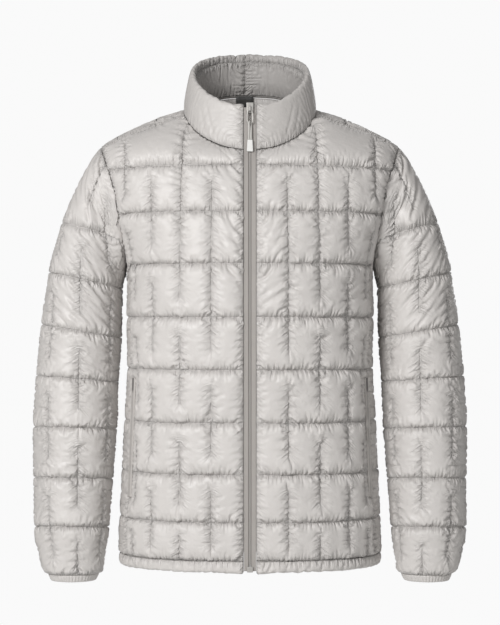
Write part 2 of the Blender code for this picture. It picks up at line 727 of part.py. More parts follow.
def build_cloth(cloth, tape_cloth):
    """All sewn panels. Returns the line where the zip's tapes meet their panels, from the hem up."""
    columns = spread(range(6), COLUMN_STEPS)
    yoke_columns = columns[columns >= 2]
    side_columns = np.linspace(0, 2, SIDE_STEPS + 1)
    front = body_panel(columns, False, FRONT_TOP_STEPS)
    half_back = body_panel(columns, True, BACK_TOP_STEPS)[:, ::-1]
    back = np.concatenate([half_back, half_back[:, -2::-1] * (-1, 1, 1)], axis=1)
    side = side_panel(side_columns)
    side[:, 0] = front[: len(side), -1]
    side[:, -1] = half_back[: len(side), 0]
    yoke = yoke_panel(yoke_columns)
    hole = sleeve_armhole(front, yoke, half_back[:, ::-1], side)
    sleeve = sleeve_grid(hole)

    low_rows = np.arange(len(STITCH_LEVELS) * ROW_STEPS - ROW_STEPS + 1) / ROW_STEPS
    front_rows = np.concatenate([low_rows, low_rows[-1] + np.linspace(0, 1, FRONT_TOP_STEPS + 1)[1:]])
    back_reach = np.linalg.norm(half_back[-1] - half_back[-1 - BACK_TOP_STEPS], axis=-1) / CAP_ROW
    back_top = low_rows[-1] + np.linspace(0, 1, BACK_TOP_STEPS + 1)[1:, None] * back_reach
    half_rows = np.concatenate([np.repeat(low_rows[:, None], len(columns), 1), back_top])
    back_rows = np.concatenate([half_rows, half_rows[:, -2::-1]], axis=1)
    back_columns = np.concatenate([columns[::-1], columns[1:]])
    sleeve_rows = np.arange(len(sleeve)) / SLEEVE_STEPS
    sleeve_columns = sleeve_shares() * len(SLEEVE_SPLIT)

    sleeve_room, side_room = room_between(sleeve, side)
    turns = np.degrees(2 * np.pi * sleeve_shares()) + SLEEVE_START
    away = np.abs((turns + 180) % 360 - 180)
    arm_side = np.interp(away, ARM_SIDE_TURNS, (ARM_SIDE_SHARE, 1.0))
    to_ends = edge_distance(sleeve, closed=True)
    sleeve_height = quilt(SLEEVE_PUFF * arm_side, sleeve_rows[:, None], sleeve_columns, range(9), to_ends)
    sleeve_height = np.minimum(sleeve_height, np.maximum(ROOM_SHARE * sleeve_room, 0))
    side_height = quilt(
        SIDE_PUFF, low_rows[: len(side), None], side_columns, (1,), edge_distance(side), parity=1
    )
    side_height = np.minimum(side_height, np.maximum(ROOM_SHARE * side_room, 0))

    front_panel = Panel(front, quilt(PUFF, front_rows[:, None], columns, range(1, 5), edge_distance(front)))
    back_panel = Panel(back, quilt(PUFF, back_rows, back_columns, range(5), edge_distance(back)))
    side_piece = Panel(side, side_height)
    yoke_rows = np.linspace(0, 1, YOKE_STEPS + 1)[:, None]
    yoke_piece = Panel(yoke, quilt(YOKE_PUFF, yoke_rows, yoke_columns, (3,), edge_distance(yoke), parity=1))
    sleeve_piece = Panel(sleeve, sleeve_height, closed=True)

    half_neck = np.concatenate([front[-1, columns <= 2], yoke[1:, 0], half_back[-1, ::-1][columns < 2][::-1]])
    neck_edge = np.concatenate([half_neck, half_neck[-2::-1] * (-1, 1, 1)])
    collar = collar_panel(neck_edge)
    rise = np.linspace(0, 1, COLLAR_STEPS + 1)[:, None]
    collar_height = COLLAR_PUFF * np.sin(np.pi * rise) ** 0.6 * dome(edge_distance(collar) / EDGE_RISE)
    collar_height[1:-1, [0, -1]] = 0.0
    collar_piece = Panel(collar, collar_height)

    body_half = np.concatenate([front[0], side[0, 1:], half_back[0, 1:]])
    hem = hem_panel(np.concatenate([body_half, body_half[-2::-1] * (-1, 1, 1)]))
    hem_height = np.zeros(hem.shape[:2])
    hem_height[1, 1:-1] = BAND_PUFF
    hem_piece = Panel(hem, hem_height)

    cuff = cuff_panel(sleeve[0], sleeve_shares())
    cuff_height = np.repeat([[0.0], [CUFF_PUFF], [0.0]], cuff.shape[1], axis=1)
    cuff_piece = Panel(cuff, cuff_height, closed=True)

    zip_edge = np.concatenate([hem[:, 0], front[1:, 0], collar[1:, 0]])
    tape = tape_panel(zip_edge)
    tape_piece = Panel(tape, np.zeros(tape.shape[:2]))

    paired = [front_panel, side_piece, yoke_piece, sleeve_piece, cuff_piece, tape_piece]
    settle_seams([*paired, back_panel, collar_piece, hem_piece], paired)
    for side_name, sign in (("left", 1), ("right", -1)):
        for name, panel in zip(("front", "side", "shoulder", "sleeve"), paired):
            wall(f"{name}_{side_name}", *panel.faces(SHEET), cloth, panel.closed, sign)
        outer, inner = cuff_piece.faces(CUFF_SHEET)
        wall(f"cuff_{side_name}", ribbed(outer), np.repeat(inner, 2, axis=1), cloth, True, sign)
        wall(f"zip_tape_{side_name}", *tape_piece.faces(SHEET), tape_cloth, False, sign)
    wall("back", *back_panel.faces(SHEET), cloth)
    wall("collar", *collar_piece.faces(np.array(COLLAR_SHEETS)[:, None]), cloth)
    wall("hem_band", *hem_piece.faces(SHEET), cloth)
    return zip_edge


# ---- small pieces --------------------------------------------------------------------------


def seat(line, centre, height):
    """Where a flat back of this height lies on the tapes: its y at the centre, and its lean in radians."""
    z = centre + np.linspace(-height / 2, height / 2, 9)
    y = np.interp(z, line[:, 2], line[:, 1])
    slope = (y[-1] - y[0]) / height
    return (y - slope * (z - centre)).min(), np.arctan(slope)


def hinge(line):
    """Place of the zip pull's hinge, and the lean with which the pull hangs against the tapes."""
    y, lean = seat(line, SLIDER_Z, SLIDER_HEIGHT)
    ahead = (REST_GAP + SLIDER_DEPTH + PIVOT_AHEAD) / np.cos(lean)
    pivot_y = y + (PIVOT_Z - SLIDER_Z) * np.tan(lean) - ahead
    drop = np.linspace(LINK_LENGTH, CORD_END + REST_GAP + TIP_LENGTH + 1.0, 40)
    clear = np.interp(PIVOT_Z - drop, line[:, 2], line[:, 1]) - TIP_DEPTH / 2 - REST_GAP
    return (0.0, pivot_y, PIVOT_Z), np.arctan((pivot_y - clear) / drop).max()


def place(piece, location, lean):
    piece.location = [value * MM for value in location]
    piece.rotation_euler = (-lean, 0.0, 0.0)
    return piece


def block(name, sizes, material, bevel, top_share=1.0):
    """Box with rounded edges, its upper end narrower by top_share."""
    bpy.ops.mesh.primitive_cube_add(size=1.0)
    piece = bpy.context.object
    piece.name = piece.data.name = name
    for vertex in piece.data.vertices:
        narrow = top_share if vertex.co.z > 0 else 1.0
        vertex.co = [value * size * MM for value, size in zip(vertex.co, sizes)]
        vertex.co.x *= narrow
    rounding = piece.modifiers.new("rounding", "BEVEL")
    rounding.width = bevel * MM
    rounding.segments = 2
    return adopt(piece, material)


def adopt(piece, material):
    for collection in list(piece.users_collection):
        collection.objects.unlink(piece)
    JACKET.objects.link(piece)
    piece.data.materials.clear()
    piece.data.materials.append(material)
    return piece


def tube(name, path, radius, material, cyclic=False):
    """Tube along a path of points in millimetres."""
    curve = bpy.data.curves.new(name, "CURVE")
    curve.dimensions = "3D"
    curve.bevel_depth = radius * MM
    curve.bevel_resolution = 2
    curve.use_fill_caps = True
    spline = curve.splines.new("POLY")
    spline.points.add(len(path) - 1)
    for point, place_of in zip(spline.points, path):
        point.co = (*(value * MM for value in place_of), 1.0)
    spline.use_cyclic_u = cyclic
    return adopt(bpy.data.objects.new(name, curve), material)


def link_path():
    """Closed wire ring from the hinge down: straight sides and round ends, wider below than above."""
    turn = np.radians(np.arange(0, 360, 30))
    half = LINK_HALF * (1 - 0.12 * np.cos(turn))
    straight = LINK_LENGTH / 2 - LINK_HALF
    x = half * np.sin(turn)
    z = LINK_HALF * np.cos(turn) + straight * np.sign(np.round(np.cos(turn), 6)) - LINK_LENGTH / 2
    return points(x, 0.0, z)


def cord_path():
    """Doubled cord: up one leg in front of the ring's lower end, over it, and down behind it."""
    turn = np.linspace(0, np.pi, 9)
    lap = WIRE + CORD_RADIUS + REST_GAP
    beside = CORD_RADIUS + REST_GAP / 2
    loop = points(beside * np.cos(turn), lap * np.cos(turn), lap * np.sin(turn) - LINK_LENGTH)
    drop = np.linspace(0, 1, 6)[1:]
    spread_out = beside + (CORD_SPREAD - beside) * drop
    leg = points(spread_out, lap * (1 - drop) ** 2, -LINK_LENGTH - (CORD_END - LINK_LENGTH) * drop)
    return np.concatenate([leg[::-1], loop, leg * (-1, -1, 1)])


def bridge_path():
    """Arch that holds the ring's upper end against the slider: out over the ring's wire and back in."""
    turn = np.radians(np.arange(-90, 91, 30))
    clear = WIRE + REST_GAP + BRIDGE_WIRE
    bend = np.concatenate([np.cos(turn[:4]), np.cos(turn[3:])])
    rise = np.concatenate([np.sin(turn[:4]), np.sin(turn[3:]) + BRIDGE_RISE / clear]) * clear
    arch = points(0.0, -bend * clear, rise)
    root = points(0.0, PIVOT_AHEAD + 1.0, 0.0)
    return np.concatenate([arch[:1] + root, arch, arch[-1:] + root])


def add_to(piece, addition):
    """Joins a tube to a piece by a Boolean union."""
    solid = bpy.data.meshes.new_from_object(addition.evaluated_get(bpy.context.evaluated_depsgraph_get()))
    work = bmesh.new()
    work.from_mesh(solid)
    bmesh.ops.remove_doubles(work, verts=work.verts, dist=1e-6)
    work.to_mesh(solid)
    work.free()
    tool = bpy.data.objects.new(addition.name + "_solid", solid)
    tool.location, tool.rotation_euler = addition.location, addition.rotation_euler
    tool.hide_render = True
    tool.display_type = "WIRE"
    TOOLS.objects.link(tool)
    bpy.data.objects.remove(addition)
    union = piece.modifiers.new("bridge", "BOOLEAN")
    union.operation = "UNION"
    union.object = tool


def build_zip_hardware(line, metal, cord, plastic):
    y, lean = seat(line, SLIDER_Z, SLIDER_HEIGHT)
    slider = block("zip_slider", (SLIDER_WIDTH, SLIDER_DEPTH, SLIDER_HEIGHT), metal, 0.9, 1.15)
    place(slider, (0.0, y - (REST_GAP + SLIDER_DEPTH / 2) / np.cos(lean), SLIDER_Z), lean)
    pivot, pull_lean = hinge(line)
    bridge = tube("zip_bridge", bridge_path(), BRIDGE_WIRE, metal)
    place(bridge, pivot, lean)
    add_to(slider, bridge)
    hanger = bpy.data.objects.new("zip_pull_hanger", None)
    JACKET.objects.link(hanger)
    place(hanger, pivot, pull_lean)
    link = tube("zip_pull_link", link_path(), WIRE, metal, cyclic=True)
    strand = tube("zip_pull_cord", cord_path(), CORD_RADIUS, cord)
    narrow, wide = TIP_WIDTHS
    tip = block("zip_pull_tip", (wide, TIP_DEPTH, TIP_LENGTH), plastic, 0.7, narrow / wide)
    tip.location = (0.0, 0.0, (-CORD_END - REST_GAP - TIP_LENGTH / 2) * MM)
    for piece in (link, strand, tip):
        piece.parent = hanger
    centre = HEM_BOTTOM + BOX_HEIGHT / 2
    y, lean = seat(line, centre, BOX_HEIGHT)
    box = block("zip_box", (BOX_WIDTH, BOX_DEPTH, BOX_HEIGHT), metal, 0.8)
    place(box, (0.0, y - (REST_GAP + BOX_DEPTH / 2) / np.cos(lean), centre), lean)


def build_pocket_zips(material):
    """Narrow bands over the side seams: the seam's points, moved out and to both sides."""
    z = np.linspace(POCKET_LOW, POCKET_HIGH, 11)
    y = seam_y(z, False)
    seam = points(body_x(y, z), y, z)
    across = unit(points(body_x(y + 1, z), y + 1, z) - points(body_x(y - 1, z), y - 1, z))
    facing = unit(np.cross(across, np.gradient(seam, axis=0)))
    offsets = np.array((-POCKET_HALF, 0.0, POCKET_HALF))[None, :, None]
    base = seam[:, None] + across[:, None] * offsets + facing[:, None] * POCKET_LIFT
    outer = base + facing[:, None] * POCKET_SHEET
    for name, sign in (("pocket_zip_left", 1), ("pocket_zip_right", -1)):
        wall(name, outer, base, material, side=sign)


def build_label(material):
    """Blank label inside the neck, made from the back's points, moved in."""
    x = np.linspace(LABEL_CENTRE + LABEL_HALF, LABEL_CENTRE - LABEL_HALF, 5)
    rows = top_zone(np.abs(x) / COLUMN_PITCH, np.linspace(*LABEL_SHARES, 3), True)
    rows[..., 0] = np.abs(rows[..., 0]) * np.sign(x)
    facing = normals(rows)
    outer = rows - facing * (SHEET + LABEL_LIFT)
    wall("neck_label", outer, outer - facing * LABEL_SHEET, material)


for leftover in list(bpy.data.objects):
    bpy.data.objects.remove(leftover)
JACKET = bpy.data.collections.new("puffer_jacket")
TOOLS = bpy.data.collections.new("joining_tools")
for collection in (JACKET, TOOLS):
    bpy.context.scene.collection.children.link(collection)
NYLON = principled("light_grey_nylon", (0.60, 0.58, 0.56), 0.42)
TAPE = principled("zip_tape", (0.40, 0.39, 0.37), 0.75)
METAL = principled("brushed_zinc", (0.55, 0.54, 0.52), 0.35, 1.0)
CORD = principled("pull_cord", (0.50, 0.49, 0.47), 0.8)
TIP = principled("moulded_tip", (0.85, 0.85, 0.84), 0.45)
LABEL = principled("label_satin", (0.10, 0.10, 0.10), 0.6)
ZIP_LINE = build_cloth(NYLON, TAPE)
build_zip_hardware(ZIP_LINE, METAL, CORD, TIP)
build_pocket_zips(TAPE)
build_label(LABEL)
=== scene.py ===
"""Looks of a quilted puffer jacket: swollen nylon panels, zip, pocket zips, ribbed cuffs, blank label.

Each panel lies on the body's own surface, on a fine grid. Its cloth is cut a little larger than that
surface, is held down along seams and stitches, and is swollen by its filling: that gives the puffs,
the puckers along every stitch line and the creases between them.
Tables and sizes are in millimetres, as in the solids, and meshes are made in metres.
"""

import bpy
import numpy as np
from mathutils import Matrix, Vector


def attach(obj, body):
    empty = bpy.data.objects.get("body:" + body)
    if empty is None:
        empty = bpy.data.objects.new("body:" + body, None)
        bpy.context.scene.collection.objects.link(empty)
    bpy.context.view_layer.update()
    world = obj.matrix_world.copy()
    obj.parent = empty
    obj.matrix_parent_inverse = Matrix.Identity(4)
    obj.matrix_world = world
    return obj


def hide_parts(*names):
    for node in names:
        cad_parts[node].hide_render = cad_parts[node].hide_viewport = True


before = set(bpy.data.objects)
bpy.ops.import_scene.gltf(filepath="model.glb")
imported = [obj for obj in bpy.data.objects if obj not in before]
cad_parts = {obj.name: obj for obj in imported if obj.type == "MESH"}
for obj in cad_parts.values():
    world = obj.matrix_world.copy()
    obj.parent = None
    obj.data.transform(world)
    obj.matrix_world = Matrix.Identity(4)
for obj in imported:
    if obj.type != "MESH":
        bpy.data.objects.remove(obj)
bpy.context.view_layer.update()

MM = 0.001

# ---- the jacket's sizes, as in its solids --------------------------------------------------
SEAM_GAP = 0.4
SHEET = 2.0
ZIP_HALF = 8.6
COLUMN_PITCH = 45.0
EDGE_COLUMN = 19.0
NARROWED = ((-230.0, -150.0, -84.0), (1.0, 0.975, 0.96))  # heights, share of the columns' pitch
ARM_SHARE = 0.62  # rows that an upright stitch reaches past a level one
HEM_BOTTOM, HEM_SEAM, HEM_DRAW = -651.5, -636.0, 0.992
SIDE_TOP = -186.8
FRONT_ROUND, BACK_ROUND = 2.3, 2.8
STITCH_LEVELS = [HEM_SEAM, -583.0, -517.0, -445.0, -371.0, -297.5, -223.2, -150.0, -84.0]
YOKE_LEVEL, SIDE_LEVEL = STITCH_LEVELS[-1], STITCH_LEVELS[5]

# Body sections, one in a line: height, half width, depth in front, depth behind.
BODY = np.array(
    [
        (-660.0, 184.5, 127.0, 117.5),
        (-651.5, 185.0, 128.0, 118.0),
        (-636.0, 186.5, 130.0, 119.5),
        (-583.0, 185.0, 132.5, 119.5),
        (-517.0, 182.0, 132.0, 117.0),
        (-445.0, 178.5, 133.0, 113.0),
        (-371.0, 174.5, 136.0, 111.5),
        (-297.5, 175.5, 139.5, 114.5),
        (-223.2, 177.0, 138.5, 122.0),
        (-186.8, 189.0, 134.5, 126.0),
        (-150.0, 204.5, 128.5, 128.0),
        (-117.0, 214.0, 119.5, 127.0),
        (-84.0, 219.5, 107.5, 123.5),
        (-50.0, 214.5, 92.0, 115.0),
    ]
).T

# Side seams: height, y of the front one, y of the back one.
SIDE_SEAMS = np.array(
    [
        (-660.0, -58.0, 47.0),
        (-517.0, -57.5, 47.0),
        (-371.0, -55.0, 48.0),
        (-297.5, -51.5, 51.0),
        (-223.2, -49.5, 56.5),
        (-186.8, -50.3, 59.6),
    ]
).T

# Neck seam and the collar's top edge: angles from the centre front in degrees, heights.
NECK = np.array(
    [
        (0.0, 20.0, 37.0, 54.0, 78.0, 95.0, 112.0, 135.0, 160.0, 180.0),
        (-63.5, -59.0, -48.5, -34.0, -10.5, 0.5, 7.5, 18.0, 27.5, 30.0),
    ]
)
NECK_HALF, NECK_CENTRE, NECK_DEPTH = 94.5, -2.5, 92.5
COLLAR_TOP = np.array(
    [
        (0.0, 20.0, 43.0, 60.0, 90.0, 120.0, 150.0, 180.0),
        (4.2, 7.5, 21.0, 35.0, 60.0, 78.0, 88.0, 91.0),
    ]
)
COLLAR_HALF, COLLAR_CENTRE, COLLAR_DEPTH = 83.0, -5.0, 80.0
COLLAR_SHEETS = (2.0, 6.5, 8.5, 9.0, 9.0, 8.5, 5.0)  # thickness from the seam up
COLLAR_BELLY, EDGE_RISE = 0.6, 17.0

YOKE_NECK = (78.0, 112.0)
YOKE_ARM = (157.0, 204.0)
YOKE_SHARES = (0.0, 0.36, 0.705, 1.0)
# Of the front and of the back: where the first stitch line meets the neck, in degrees, and the
# directions towards the crest in which the panel meets the neck and the shoulder seam.
FIRST_LINE = (35.0, 151.5)
CREST_SLOPES = (((0.0, 0.53, 0.85), (0.0, 0.82, 0.57)), ((0.0, -0.42, 0.9), (0.0, -0.86, 0.5)))
YOKE_ARCH = 16.0  # four times the rise of the shoulder seams between neck and armhole
ARM_CENTRE_Y, ARM_CENTRE_Z = 3.0, -136.6
ARM_FRONT, ARM_BACK, ARM_HALF_HEIGHT = 66.0, 70.0, 85.1

# Sleeve rings: inner and outer point (x, z), centre y, half depth, degrees from the inner side
# forward at which the first stitch line lies, slope up towards the front.
SLEEVE = np.array(
    [
        (187.0, -256.0, 289.0, -232.5, 4.0, 66.0, 2.0, 0.0),
        (188.5, -327.0, 300.0, -308.0, 3.0, 65.0, -3.0, 0.0),
        (192.5, -391.0, 307.0, -382.5, -2.0, 62.5, -6.5, 0.03),
        (194.5, -458.5, 310.5, -455.5, -9.0, 60.0, -9.0, 0.05),
        (200.0, -529.5, 309.0, -528.5, -17.0, 56.0, -11.0, 0.07),
        (205.5, -598.5, 306.0, -598.0, -25.0, 51.5, -13.0, 0.09),
        (216.5, -664.0, 289.5, -664.0, -31.0, 37.0, -13.0, 0.0),
    ]
)
CUFF_END = (222.0, -674.5, 284.5, -674.5, -32.0, 32.0, -13.0, 0.0)
RIB = 1.2  # height of the cuff's gathers
CAP_ROW, CAP_SHARE, CAP_FULLNESS = 73.5, 0.85, 0.95
# Directions in which the cap meets the armhole: under the arm, on the shoulder, and its turn backwards.
CAP_UNDER, CAP_OVER, CAP_BACKWARD = (-0.3, 0.0, 0.9), (-0.6, 0.0, 0.8), 0.16
# The sleeve's stitch lines, numbered from under the arm, and where they meet the armhole, in degrees.
SLEEVE_LINES = np.array(
    [
        (0.0, 0.5, 1.0, 2.0, 3.0, 4.0, 5.0, 6.0, 7.0, 8.0),
        (0.0, 56.0, 112.0, 134.0, 163.0, 190.0, 222.0, 256.0, 305.0, 360.0),
    ]
)

# ---- grids ---------------------------------------------------------------------------------
ROW = 32  # grid rows to a quilted row
COLUMN = 28  # grid columns to a quilted column
COARSE = 4  # fine steps to one of the coarsest grid that a cloth settles on, and of its lining

# ---- how cloth settles: on the coarse, the middle and the fine grid -----------------------------
SETTLE_STEPS = (110, 70, 80)
PUSH = (0.9, 0.14, 0.035)  # of the filling, in each step
STIFFNESS = (0.1, 0.03, 0.006)
SHAKE = 0.9
SLACK = 0.8  # part of a thread's shortening that it resists
SLANT_SLACK = 0.5
SWELL_SHARE = 0.6
MOTION_KEPT = 0.85  # share of its speed that the cloth keeps from step to step
THREAD_TURNS = 3  # times that all threads are drawn together in a step
HIGHEST = 1.15  # share of its cap that a puff never passes
# Gathers along level and upright stitches: the share of spare cloth at the stitch that each of the
# grids takes up, and how far from the stitch it is felt.
LEVEL_GATHER, LEVEL_REACH = (0.04, 0.12, 0.2), 12.0
UPRIGHT_GATHER, UPRIGHT_REACH = (0.1, 0.22, 0.26), 14.0
BODY_CAP, SLEEVE_CAP, SIDE_CAP, YOKE_CAP = 9.0, 6.5, 3.0, 2.6  # height where the filling gives out
SIDE_SPARE = 0.1  # spare length of the side panel's cloth, which ruffles it finely
SLEEVE_OUTSIDE = 0.4  # share of that height on the sleeve's outer side
POCKET_CAP = 1.2  # height of the cloth beside a pocket zip
POCKET_FREE = (9.0, 28.0)  # how far from the zip it starts to rise, and how far it is as high as ever
ROOM_SHARE = 0.38  # part of the space between sleeve and body that each one's puffs may fill
LEAST_CAP, FAR = 0.6, 1000.0
CLOTH_RUN = ("across", "up", "level", "upright")  # what a material reads of the cloth, in millimetres
STITCH_FELT = 40.0  # distances to stitches end here
# Depth profile of a fold: half widths of its valley and of the ridges beside it, the ridges' share.
VALLEY, RIDGE, RIDGE_SHARE = 2.6, 6.5, 0.45
SLANT_RUN, UNEVEN_RUN = 19.0, 11.0  # millimetres over which the ruffles' slant and depth vary
# Noise over the cloth, as its cell in grid points and its strength: in the spare cloth, its slant,
# the gathers, the puffs' height, and in millimetres by which a stitch line strays from its course.
SPARE_NOISE, SKEW_NOISE, GATHER_NOISE = (24, 0.5), (28, 0.02), (16, 0.6)
PUFF_NOISE, STRAY_NOISE = (13, 0.14), (7, 0.7)

# ---- where the cloth is pulled, and the smaller panels ------------------------------------------
# Long folds across a sleeve: points as stitch line and row, depth of the valley.
SLEEVE_FOLDS = (
    (((2.02, 7.0), (1.04, 6.5), (0.5, 6.05)), 2.2),
    (((2.2, 6.75), (1.78, 6.0), (1.27, 5.62), (0.7, 5.25)), 2.6),
    (((2.45, 4.95), (1.75, 4.4), (0.85, 4.04)), 2.0),
    (((1.3, 4.3), (0.8, 4.03)), 1.2),
)
FRONT_FOLDS = (
    (((4.0, 7.2), (4.35, 7.0), (4.75, 6.8)), 1.6),
    (((1.0, 8.95), (0.45, 8.25), (0.05, 7.55)), 1.2),
    (((0.75, 7.0), (0.3, 6.45), (0.05, 6.1)), 1.3),
    (((0.97, 6.8), (0.6, 6.35), (0.2, 6.03)), 1.1),
    (((0.45, 7.0), (0.2, 6.75), (0.03, 6.5)), 1.1),
    (((0.55, 5.97), (0.25, 5.72), (0.03, 5.45)), 1.1),
    (((0.7, 7.97), (0.35, 7.6), (0.05, 7.2)), 1.1),
    (((2.6, 7.97), (2.85, 7.72), (2.97, 7.4)), 0.9),
    (((1.6, 7.97), (1.85, 7.7), (1.97, 7.35)), 0.9),
    (((0.03, 4.4), (0.25, 4.2), (0.5, 4.03)), 1.1),
    (((2.05, 5.2), (2.35, 5.35), (2.6, 5.3)), 0.8),
)
BRIDGED = ((1, 5.5, 6.5), (2, 6.5, 7.5))  # further upright stitches: line, from row, to row
# Ruffles beside level and upright stitches: depth, pitch, slant away from the stitch, its variation.
LEVEL_RUFFLE, UPRIGHT_RUFFLE = (1.0, 3.4, 0.0, 1.1), (2.2, 6.0, 0.7, 0.4)
STAR, STAR_RAYS, STAR_REACH = 2.2, 9, 15.0  # creases that fan out from the end of an upright stitch
CALM, CALM_REACH = 0.35, 18.0  # share of height and ruffles at the armholes and neck, and its reach
ARM_RISE = 0.4  # share of the puff's height to which an upright stitch rises between the seams
FRONT_DROOP = ((6.0, 7.0, 8.0, 8.9), (0.0, 1.0, 2.4, 0.0))  # rows, and grid rows that they sink
DROOP_FROM, DROOP_OVER = 1.3, 3.4  # columns from the zip over which they start to sink
FRONT_DRAG, SLEEVE_DRAG = -0.06, -0.07  # slant of the cloth, which pulls it into slanting folds
FRONT_DRAGGED = ((4.6, 5.4, 9.0), (0.0, 1.0, 1.0))  # rows, and the share of the slant there
YOKE_DEPTH = 36.0
COLLAR_COLUMNS, COLLAR_ROWS = 288, 36
COLLAR_CAP, COLLAR_INSIDE_CAP, COLLAR_INSIDE_SPARE = 3.2, 4.0, 0.055
COLLAR_FOLD = (7.0, 3.0)  # height that its rolled edge adds in front and behind
COLLAR_RISE = 0.045  # share of the stand's height at which its inner side starts behind
# Folds on the collar beside the neck seam: points in millimetres along and up, depth.
COLLAR_FOLDS = (
    (((62.0, 48.0), (50.0, 24.0), (38.0, 2.0)), 1.0),
    (((72.0, 40.0), (62.0, 18.0), (52.0, 0.0)), 0.9),
    (((1.0, 13.0), (13.0, 17.0), (27.0, 14.0)), 0.9),
    (((1.0, 31.0), (12.0, 36.0), (25.0, 34.0)), 1.0),
    (((2.0, 47.0), (10.0, 43.0), (19.0, 46.0)), 0.8),
    (((24.0, 25.0), (36.0, 27.0), (48.0, 20.0)), 0.6),
)
COLLAR_SPARE, HEM_SPARE = (0.03, 0.03), (0.04, 0.02)  # spare cloth across and up
COLLAR_INSIDE_SHARE = 0.8  # height of the inner side's puffs, as a share of the outer side's
COLLAR_STEP = 1.9  # a grid step on its inner side
FOLD_STEPS, COLLAR_BULGE, HEM_BULGE = 8, 1.8, 1.0  # grid steps of a rolled edge, and its rise
COLLAR_FACING = 0.87  # share of the stand's height at which its inner side has a seam
COLLAR_JOIN = 9.0  # from the centre back to the inner side's upright seam
HEM_COLUMNS, HEM_ROWS, HEM_FOLD, HEM_CAP = 480, 8, 0.1, 4.0
SOFT_RUFFLES = 0.4  # share of the ruffles beside the seams of collar and hem band
CUFF_RIBS, CUFF_ROUND = 46, 24  # ribs; grid steps round the band's section
CUFF_STEPS = (0.6, 1.2)  # a grid step round the sleeve and one round the section
TAPE_ROWS, TAPE_STEPS = 320, (0.5,) * 16
TAPE_PROFILE = ((0.4, -1.3), (1.3, -1.3), (1.7, -0.7), (2.2, -0.1), (2.8, 0.05), (4.0, 0.0), (8.4, 0.0))
TOOTH_PITCH, TOOTH_HALF, TEETH_BOTTOM, TEETH_TOP = 1.3, 1.0, 9.5, -12.0
POCKET_LOW, POCKET_HIGH, POCKET_HALF, POCKET_ROWS = -553.0, -384.0, 2.5, 84
POCKET_SLIT, POCKET_GROOVE = 20.0, 0.25  # length of its open end, depth of the groove below that
POCKET_LIFT, POCKET_TILT, POCKET_SHEET, POCKET_CUT = 3.0, 1.9, 1.2, 5.5
POCKET_FORWARD = 6.3  # how far before the side seam its middle lies
POCKET_FADE = 8.0  # half of the length over which the slit closes
LABEL_CENTRE, LABEL_HALF, LABEL_SHARES = -8.0, 13.0, (0.87, 1.03)
LABEL_LIFT, LABEL_SHEET = 1.7, 0.8
PIVOT, PULL_LEAN = (0.0, -92.12, -6.5), 0.1169  # hinge of the zip's pull, and how it hangs
WIRE, LINK_LENGTH = 0.75, 19.0
CORD_RADIUS, CORD_END, REST_GAP, CORD_ROUND = 1.35, 42.0, 0.3, 24

# ---- colours and light ---------------------------------------------------------------------
NYLON_COLOUR = (0.566, 0.541, 0.522)
# Painted shade: the collar is the body's nylon painted about a tenth darker, as it catches more light.
COLLAR_PAINTED_SHADE_COLOUR = (0.518, 0.495, 0.477)
TAPE_COLOUR = (0.35, 0.327, 0.308)
POCKET_COLOUR = (0.46, 0.435, 0.415)
LABEL_COLOUR = (0.05, 0.049, 0.048)
TEETH_COLOUR = (0.42, 0.40, 0.38)
CORD_COLOUR = (0.50, 0.485, 0.46)
ZINC_COLOUR = (0.44, 0.425, 0.405)
TIP_COLOUR = (0.68, 0.675, 0.66)
PAINTED_INSIDE_SHADE, PAINTED_INSIDE_FROM = 0.78, 0.06  # collar's inner side: factor of its painted shade, and metres up the cloth where it starts
TUCK_PAINTED_SHADE = 0.05  # painted shade: how much darker the colour is painted in the folds beside a stitch
THREAD, DASH = 0.0006, 0.0032  # metres: pitch of the weave and of the sewing
FLOOR_LEVEL, FLOOR_RADIUS = -1.45, 4.0
EYE = (0.0, -3.0, -0.291)  # camera, level, facing +Y
SENSOR, FRAME_HEIGHT = 36.0, 0.90625  # mm; metres that fill the picture at the origin's distance

# ---- curves --------------------------------------------------------------------------------


def smooth(xs, ys, at):
    """Curve through a table's points: cubics between them, with slopes from the neighbours."""
    slopes = np.gradient(ys, xs)
    at = np.clip(at, xs[0], xs[-1])
    i = np.clip(np.searchsorted(xs, at, side="right") - 1, 0, len(xs) - 2)
    width = xs[i + 1] - xs[i]
    t = (at - xs[i]) / width
    return (
        (2 * t**3 - 3 * t**2 + 1) * ys[i]
        + (t**3 - 2 * t**2 + t) * width * slopes[i]
        + (3 * t**2 - 2 * t**3) * ys[i + 1]
        + (t**3 - t**2) * width * slopes[i + 1]
    )


def unit(vectors):
    return vectors / np.maximum(np.linalg.norm(vectors, axis=-1, keepdims=True), 1e-9)


def points(x, y, z):
    return np.stack(np.broadcast_arrays(x, y, z), axis=-1).astype(float)


def hermite(start, end, leave, arrive, t):
    """Cubic from start to end that leaves and arrives with the given directions."""
    return (
        (2 * t**3 - 3 * t**2 + 1) * start
        + (t**3 - 2 * t**2 + t) * leave
        + (3 * t**2 - 2 * t**3) * end
        + (t**3 - t**2) * arrive
    )


def run_along(curve):
    """Length of a polyline from its start up to each of its points."""
    return np.concatenate([[0.0], np.cumsum(np.linalg.norm(np.diff(curve, axis=0), axis=1))])


def along(curve, lengths):
    """Points of a polyline at the given lengths from its start."""
    run = run_along(curve)
    return np.stack([np.interp(lengths, run, curve[:, k]) for k in range(3)], axis=-1)


def even(count, last=1.0):
    return np.linspace(0.0, last, count + 1)


def levels(steps):
    """Heights from the hem seam to the highest level stitch, in even steps between stitches."""
    at = np.arange(len(STITCH_LEVELS) * steps - steps + 1) / steps
    return np.interp(at, np.arange(len(STITCH_LEVELS)), STITCH_LEVELS)


# ---- the body's surface --------------------------------------------------------------------


def body_x(y, z):
    """Half width at depth y and height z: one quarter superellipse in front, another behind."""
    half = smooth(BODY[0], BODY[1], z)
    depth = np.where(y < 0, smooth(BODY[0], BODY[2], z), smooth(BODY[0], BODY[3], z))
    power = np.where(y < 0, FRONT_ROUND, BACK_ROUND)
    return half * (1 - np.clip(np.abs(y) / depth, 0, 1) ** power) ** (1 / power)


